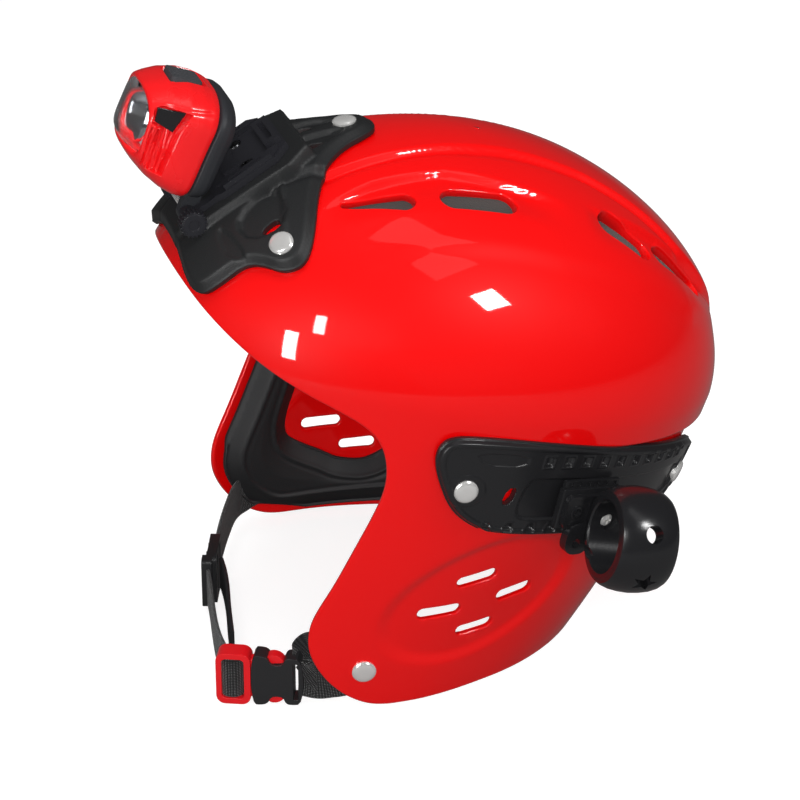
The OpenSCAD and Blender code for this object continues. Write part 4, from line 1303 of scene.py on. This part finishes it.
def build_buckle():
    """Side-release buckle: black socket with two side notches, red tongue with sprung prongs."""
    face = BUCKLE @ turned(90, "X")
    body = [(0, -11.6), (6.5, -12.4), (8.4, -11.2), (9.4, -8.2), (14.6, -8.2), (16.2, -11.6),
            (18.5, -12.9), (24, -12.9)]
    outline = body + [(x, -z) for x, z in body[::-1]]
    parts = [prism(face, smooth_line(outline, rounds=2), -4.6, 4.6)]
    cuts = [box(BUCKLE, (12, -3, -10), (30, 3, 10)), box(BUCKLE, (2.2, -9, -9.4), (4.6, 9, 9.4)),
            prism(face, rounded(9.6, -5.2, 19.4, 5.2, 1.6), 4.1, 8)]
    hard_piece("socket_moulding", "female_buckle", "buckle_black", parts, cuts, 0.7)
    parts = [prism(face, rounded(24.2, -13.2, 40.2, 13.2, 4.2), -4.7, 4.7),
             box(BUCKLE, (13, -1.5, -1.6), (26, 1.5, 1.6))]
    prong = [(26, 5.4), (26, 9.8), (17.2, 10.4), (15.6, 12.6), (11.6, 12.4), (8.8, 9.8), (9.4, 8.6),
             (14, 8.4), (18, 7.0)]
    for s in (1, -1):
        parts.append(prism(face, smooth_line([(x, s * z) for x, z in prong], rounds=2), -2.7, 2.7))
    cuts = [prism(face, rounded(27.2, -10.3, 37.6, 10.3, 2), -9, 9)]
    hard_piece("tongue_moulding", "male_buckle", "buckle_red", parts, cuts, 0.7)
    make_piece("tongue_bar", "male_buckle", "buckle_red", *rod(BUCKLE, 1.3, -11, 11, 33, 0, 24))


for part in (build_rivets, build_bracket, build_base_plate, build_screws, build_lamp, build_thumbwheel,
             build_carriage, build_ring, build_liner, build_straps, build_ladder_lock, build_buckle):
    part()
for hand in (1, -1):
    build_rail(hand)
    build_ear_pad(hand)


def finish_cad_nodes():
    """Grain and narrow edges for the CAD nodes that stay as they are."""
    for node, look in (("lamp_hinge_pin", "steel"), ("lamp_board", "board"), ("lamp_battery", "cell")):
        obj = frame["nodes"][node]
        obj.data.materials.clear()
        obj.data.materials.append(MAT[look])
        crisp(obj, 0.25)


finish_cad_nodes()


# ---- stage, in metres ----

LIGHT_REACH = 1.5
FLOOR_HALF, FLOOR_DROP = 6.0, 0.0005
FLOOR_SHOWN, FLOOR_BOUNCE, FLOOR_GLOW = 0.55, 0.16, 0.62
WORLD_LIGHT, WORLD_IN_GLOSS = 0.26, 0.05
# Broad lights that the gloss does not mirror: place, height they aim at, size and power.
BROAD_LIGHTS = {
    "top_light": ((0.1, -0.1, 1.6), 0.15, (0.9, 0.9), 12),
    "key_light": ((1.5, -0.5, 1.0), 0.15, (0.6, 0.6), 7),
    "low_light": ((1.6, 0.2, 0.35), 0.1, (1.2, 0.5), 5),
    "front_light": ((0.3, -1.8, 0.7), 0.12, (0.5, 0.9), 3.5),
    "rear_light": ((0.9, 1.5, 0.9), 0.14, (0.6, 0.6), 5),
}
# Small lights whose reflections show on the shell: surface point in mm, direction, size and power.
REFLECTIONS = {
    "crown_spot": ((91, 0.4, 194.2), (0.575, 0.458, 0.677), (0.22, 0.22), 8.0),
    "window_low": ((80.1, -86.9, 179.5), (0.619, -0.732, 0.283), (0.16, 0.5), 9.0),
    "window_high": ((82.6, -74, 188.5), (0.66, -0.516, 0.546), (0.12, 0.3), 3.5),
}
CAMERA_AZIMUTH, CAMERA_ELEVATION = math.radians(72.6), math.radians(24.3)
CAMERA_DISTANCE, CAMERA_LENS, CAMERA_SENSOR = 1.4, 134.9, 36.0
CAMERA_CENTRE, CAMERA_SHIFT = Vector((0, 0, 0.156)), (0.0122, 0.0478)


def softbox(name, location, target, size, power, mirrored_in_gloss=True):
    """Rectangular area light aimed at a point."""
    light = bpy.data.lights.new(name, "AREA")
    light.shape = "RECTANGLE"
    light.size, light.size_y = size
    light.energy = power
    obj = add_object(name, light)
    obj.visible_glossy = mirrored_in_gloss
    obj.location = location
    obj.rotation_euler = (Vector(target) - Vector(location)).to_track_quat("-Z", "Y").to_euler()
    return obj


def reflected_light(name, point, direction, size, power):
    """A softbox whose reflection shows at a surface point; point and direction are in the row frame."""
    point, direction = Vector(point) * MM, Vector(direction).normalized()
    light = softbox(name, point + LIGHT_REACH * direction, point, size, power)
    light.data.use_shadow = False


def camera_only(tree, shown, lit):
    """A value that is one number for the camera's own rays and another for every other ray."""
    return spread(tree, add_node(tree, "LightPath").outputs["Is Camera Ray"], lit, shown)


def floor_material():
    """Pale floor that shows white but throws little light back up under the helmet."""
    material = bpy.data.materials.new("floor_white")
    material.use_nodes = True
    tree = material.node_tree
    grain = add_node(tree, "TexNoise", {"Scale": 60}).outputs["Fac"]
    tone = add_node(tree, "Math", {0: spread(tree, grain, 0.985, 1.0),
                                   1: camera_only(tree, FLOOR_SHOWN, FLOOR_BOUNCE)}, operation="MULTIPLY")
    plug(tree, tree.nodes["Principled BSDF"], {
        "Roughness": 0.95, "Specular IOR Level": 0.0, "Base Color": tone.outputs["Value"],
        "Emission Color": (1, 1, 1, 1), "Emission Strength": camera_only(tree, FLOOR_GLOW, 0.0)})
    return material


def build_world():
    """White for the camera, softer for other rays and nearly dark in the gloss."""
    world = bpy.data.worlds.new("studio")
    bpy.context.scene.world = world
    world.use_nodes = True
    tree = world.node_tree
    path = add_node(tree, "LightPath").outputs
    gloss = spread(tree, path["Is Glossy Ray"], WORLD_LIGHT, WORLD_IN_GLOSS)
    shown = add_node(tree, "Math", {0: gloss, 1: path["Is Camera Ray"]}, operation="MAXIMUM")
    plug(tree, tree.nodes["Background"], {"Color": (1, 1, 1, 1), "Strength": shown.outputs["Value"]})


def build_stage():
    """Floor, world and lights."""
    bpy.context.scene.view_settings.view_transform = "Standard"
    build_world()
    mesh = bpy.data.meshes.new("floor")
    corners = [(-1, -1), (1, -1), (1, 1), (-1, 1)]
    mesh.from_pydata([(x * FLOOR_HALF, y * FLOOR_HALF, 0) for x, y in corners], [], [(0, 1, 2, 3)])
    mesh.materials.append(floor_material())
    floor = add_object("floor", mesh)
    floor.location.z = -FLOOR_DROP
    for name, (place, height, size, power) in BROAD_LIGHTS.items():
        softbox(name, place, (0, 0, height), size, power, mirrored_in_gloss=False)
    softbox("sheen_light", (0.4, 0.3, 1.7), (0, 0, 0.2), (0.5, 0.9), 0.8)
    for name, light in REFLECTIONS.items():
        reflected_light(name, *light)


def build_camera():
    """Camera at the photo's angle, aimed so that the helmet sits in the frame as it does there."""
    level = math.cos(CAMERA_ELEVATION)
    back = Vector((math.sin(CAMERA_AZIMUTH) * level, -math.cos(CAMERA_AZIMUTH) * level,
                   math.sin(CAMERA_ELEVATION)))
    right = Vector((math.cos(CAMERA_AZIMUTH), math.sin(CAMERA_AZIMUTH), 0))
    aim = CAMERA_CENTRE - CAMERA_SHIFT[0] * right - CAMERA_SHIFT[1] * back.cross(right)
    data = bpy.data.cameras.new("camera")
    data.lens, data.sensor_width = CAMERA_LENS, CAMERA_SENSOR
    camera = add_object("camera", data)
    camera.location = CAMERA_CENTRE + back * CAMERA_DISTANCE
    camera.rotation_euler = (aim - camera.location).to_track_quat("-Z", "Y").to_euler()
    bpy.context.scene.camera = camera


build_stage()
build_camera()
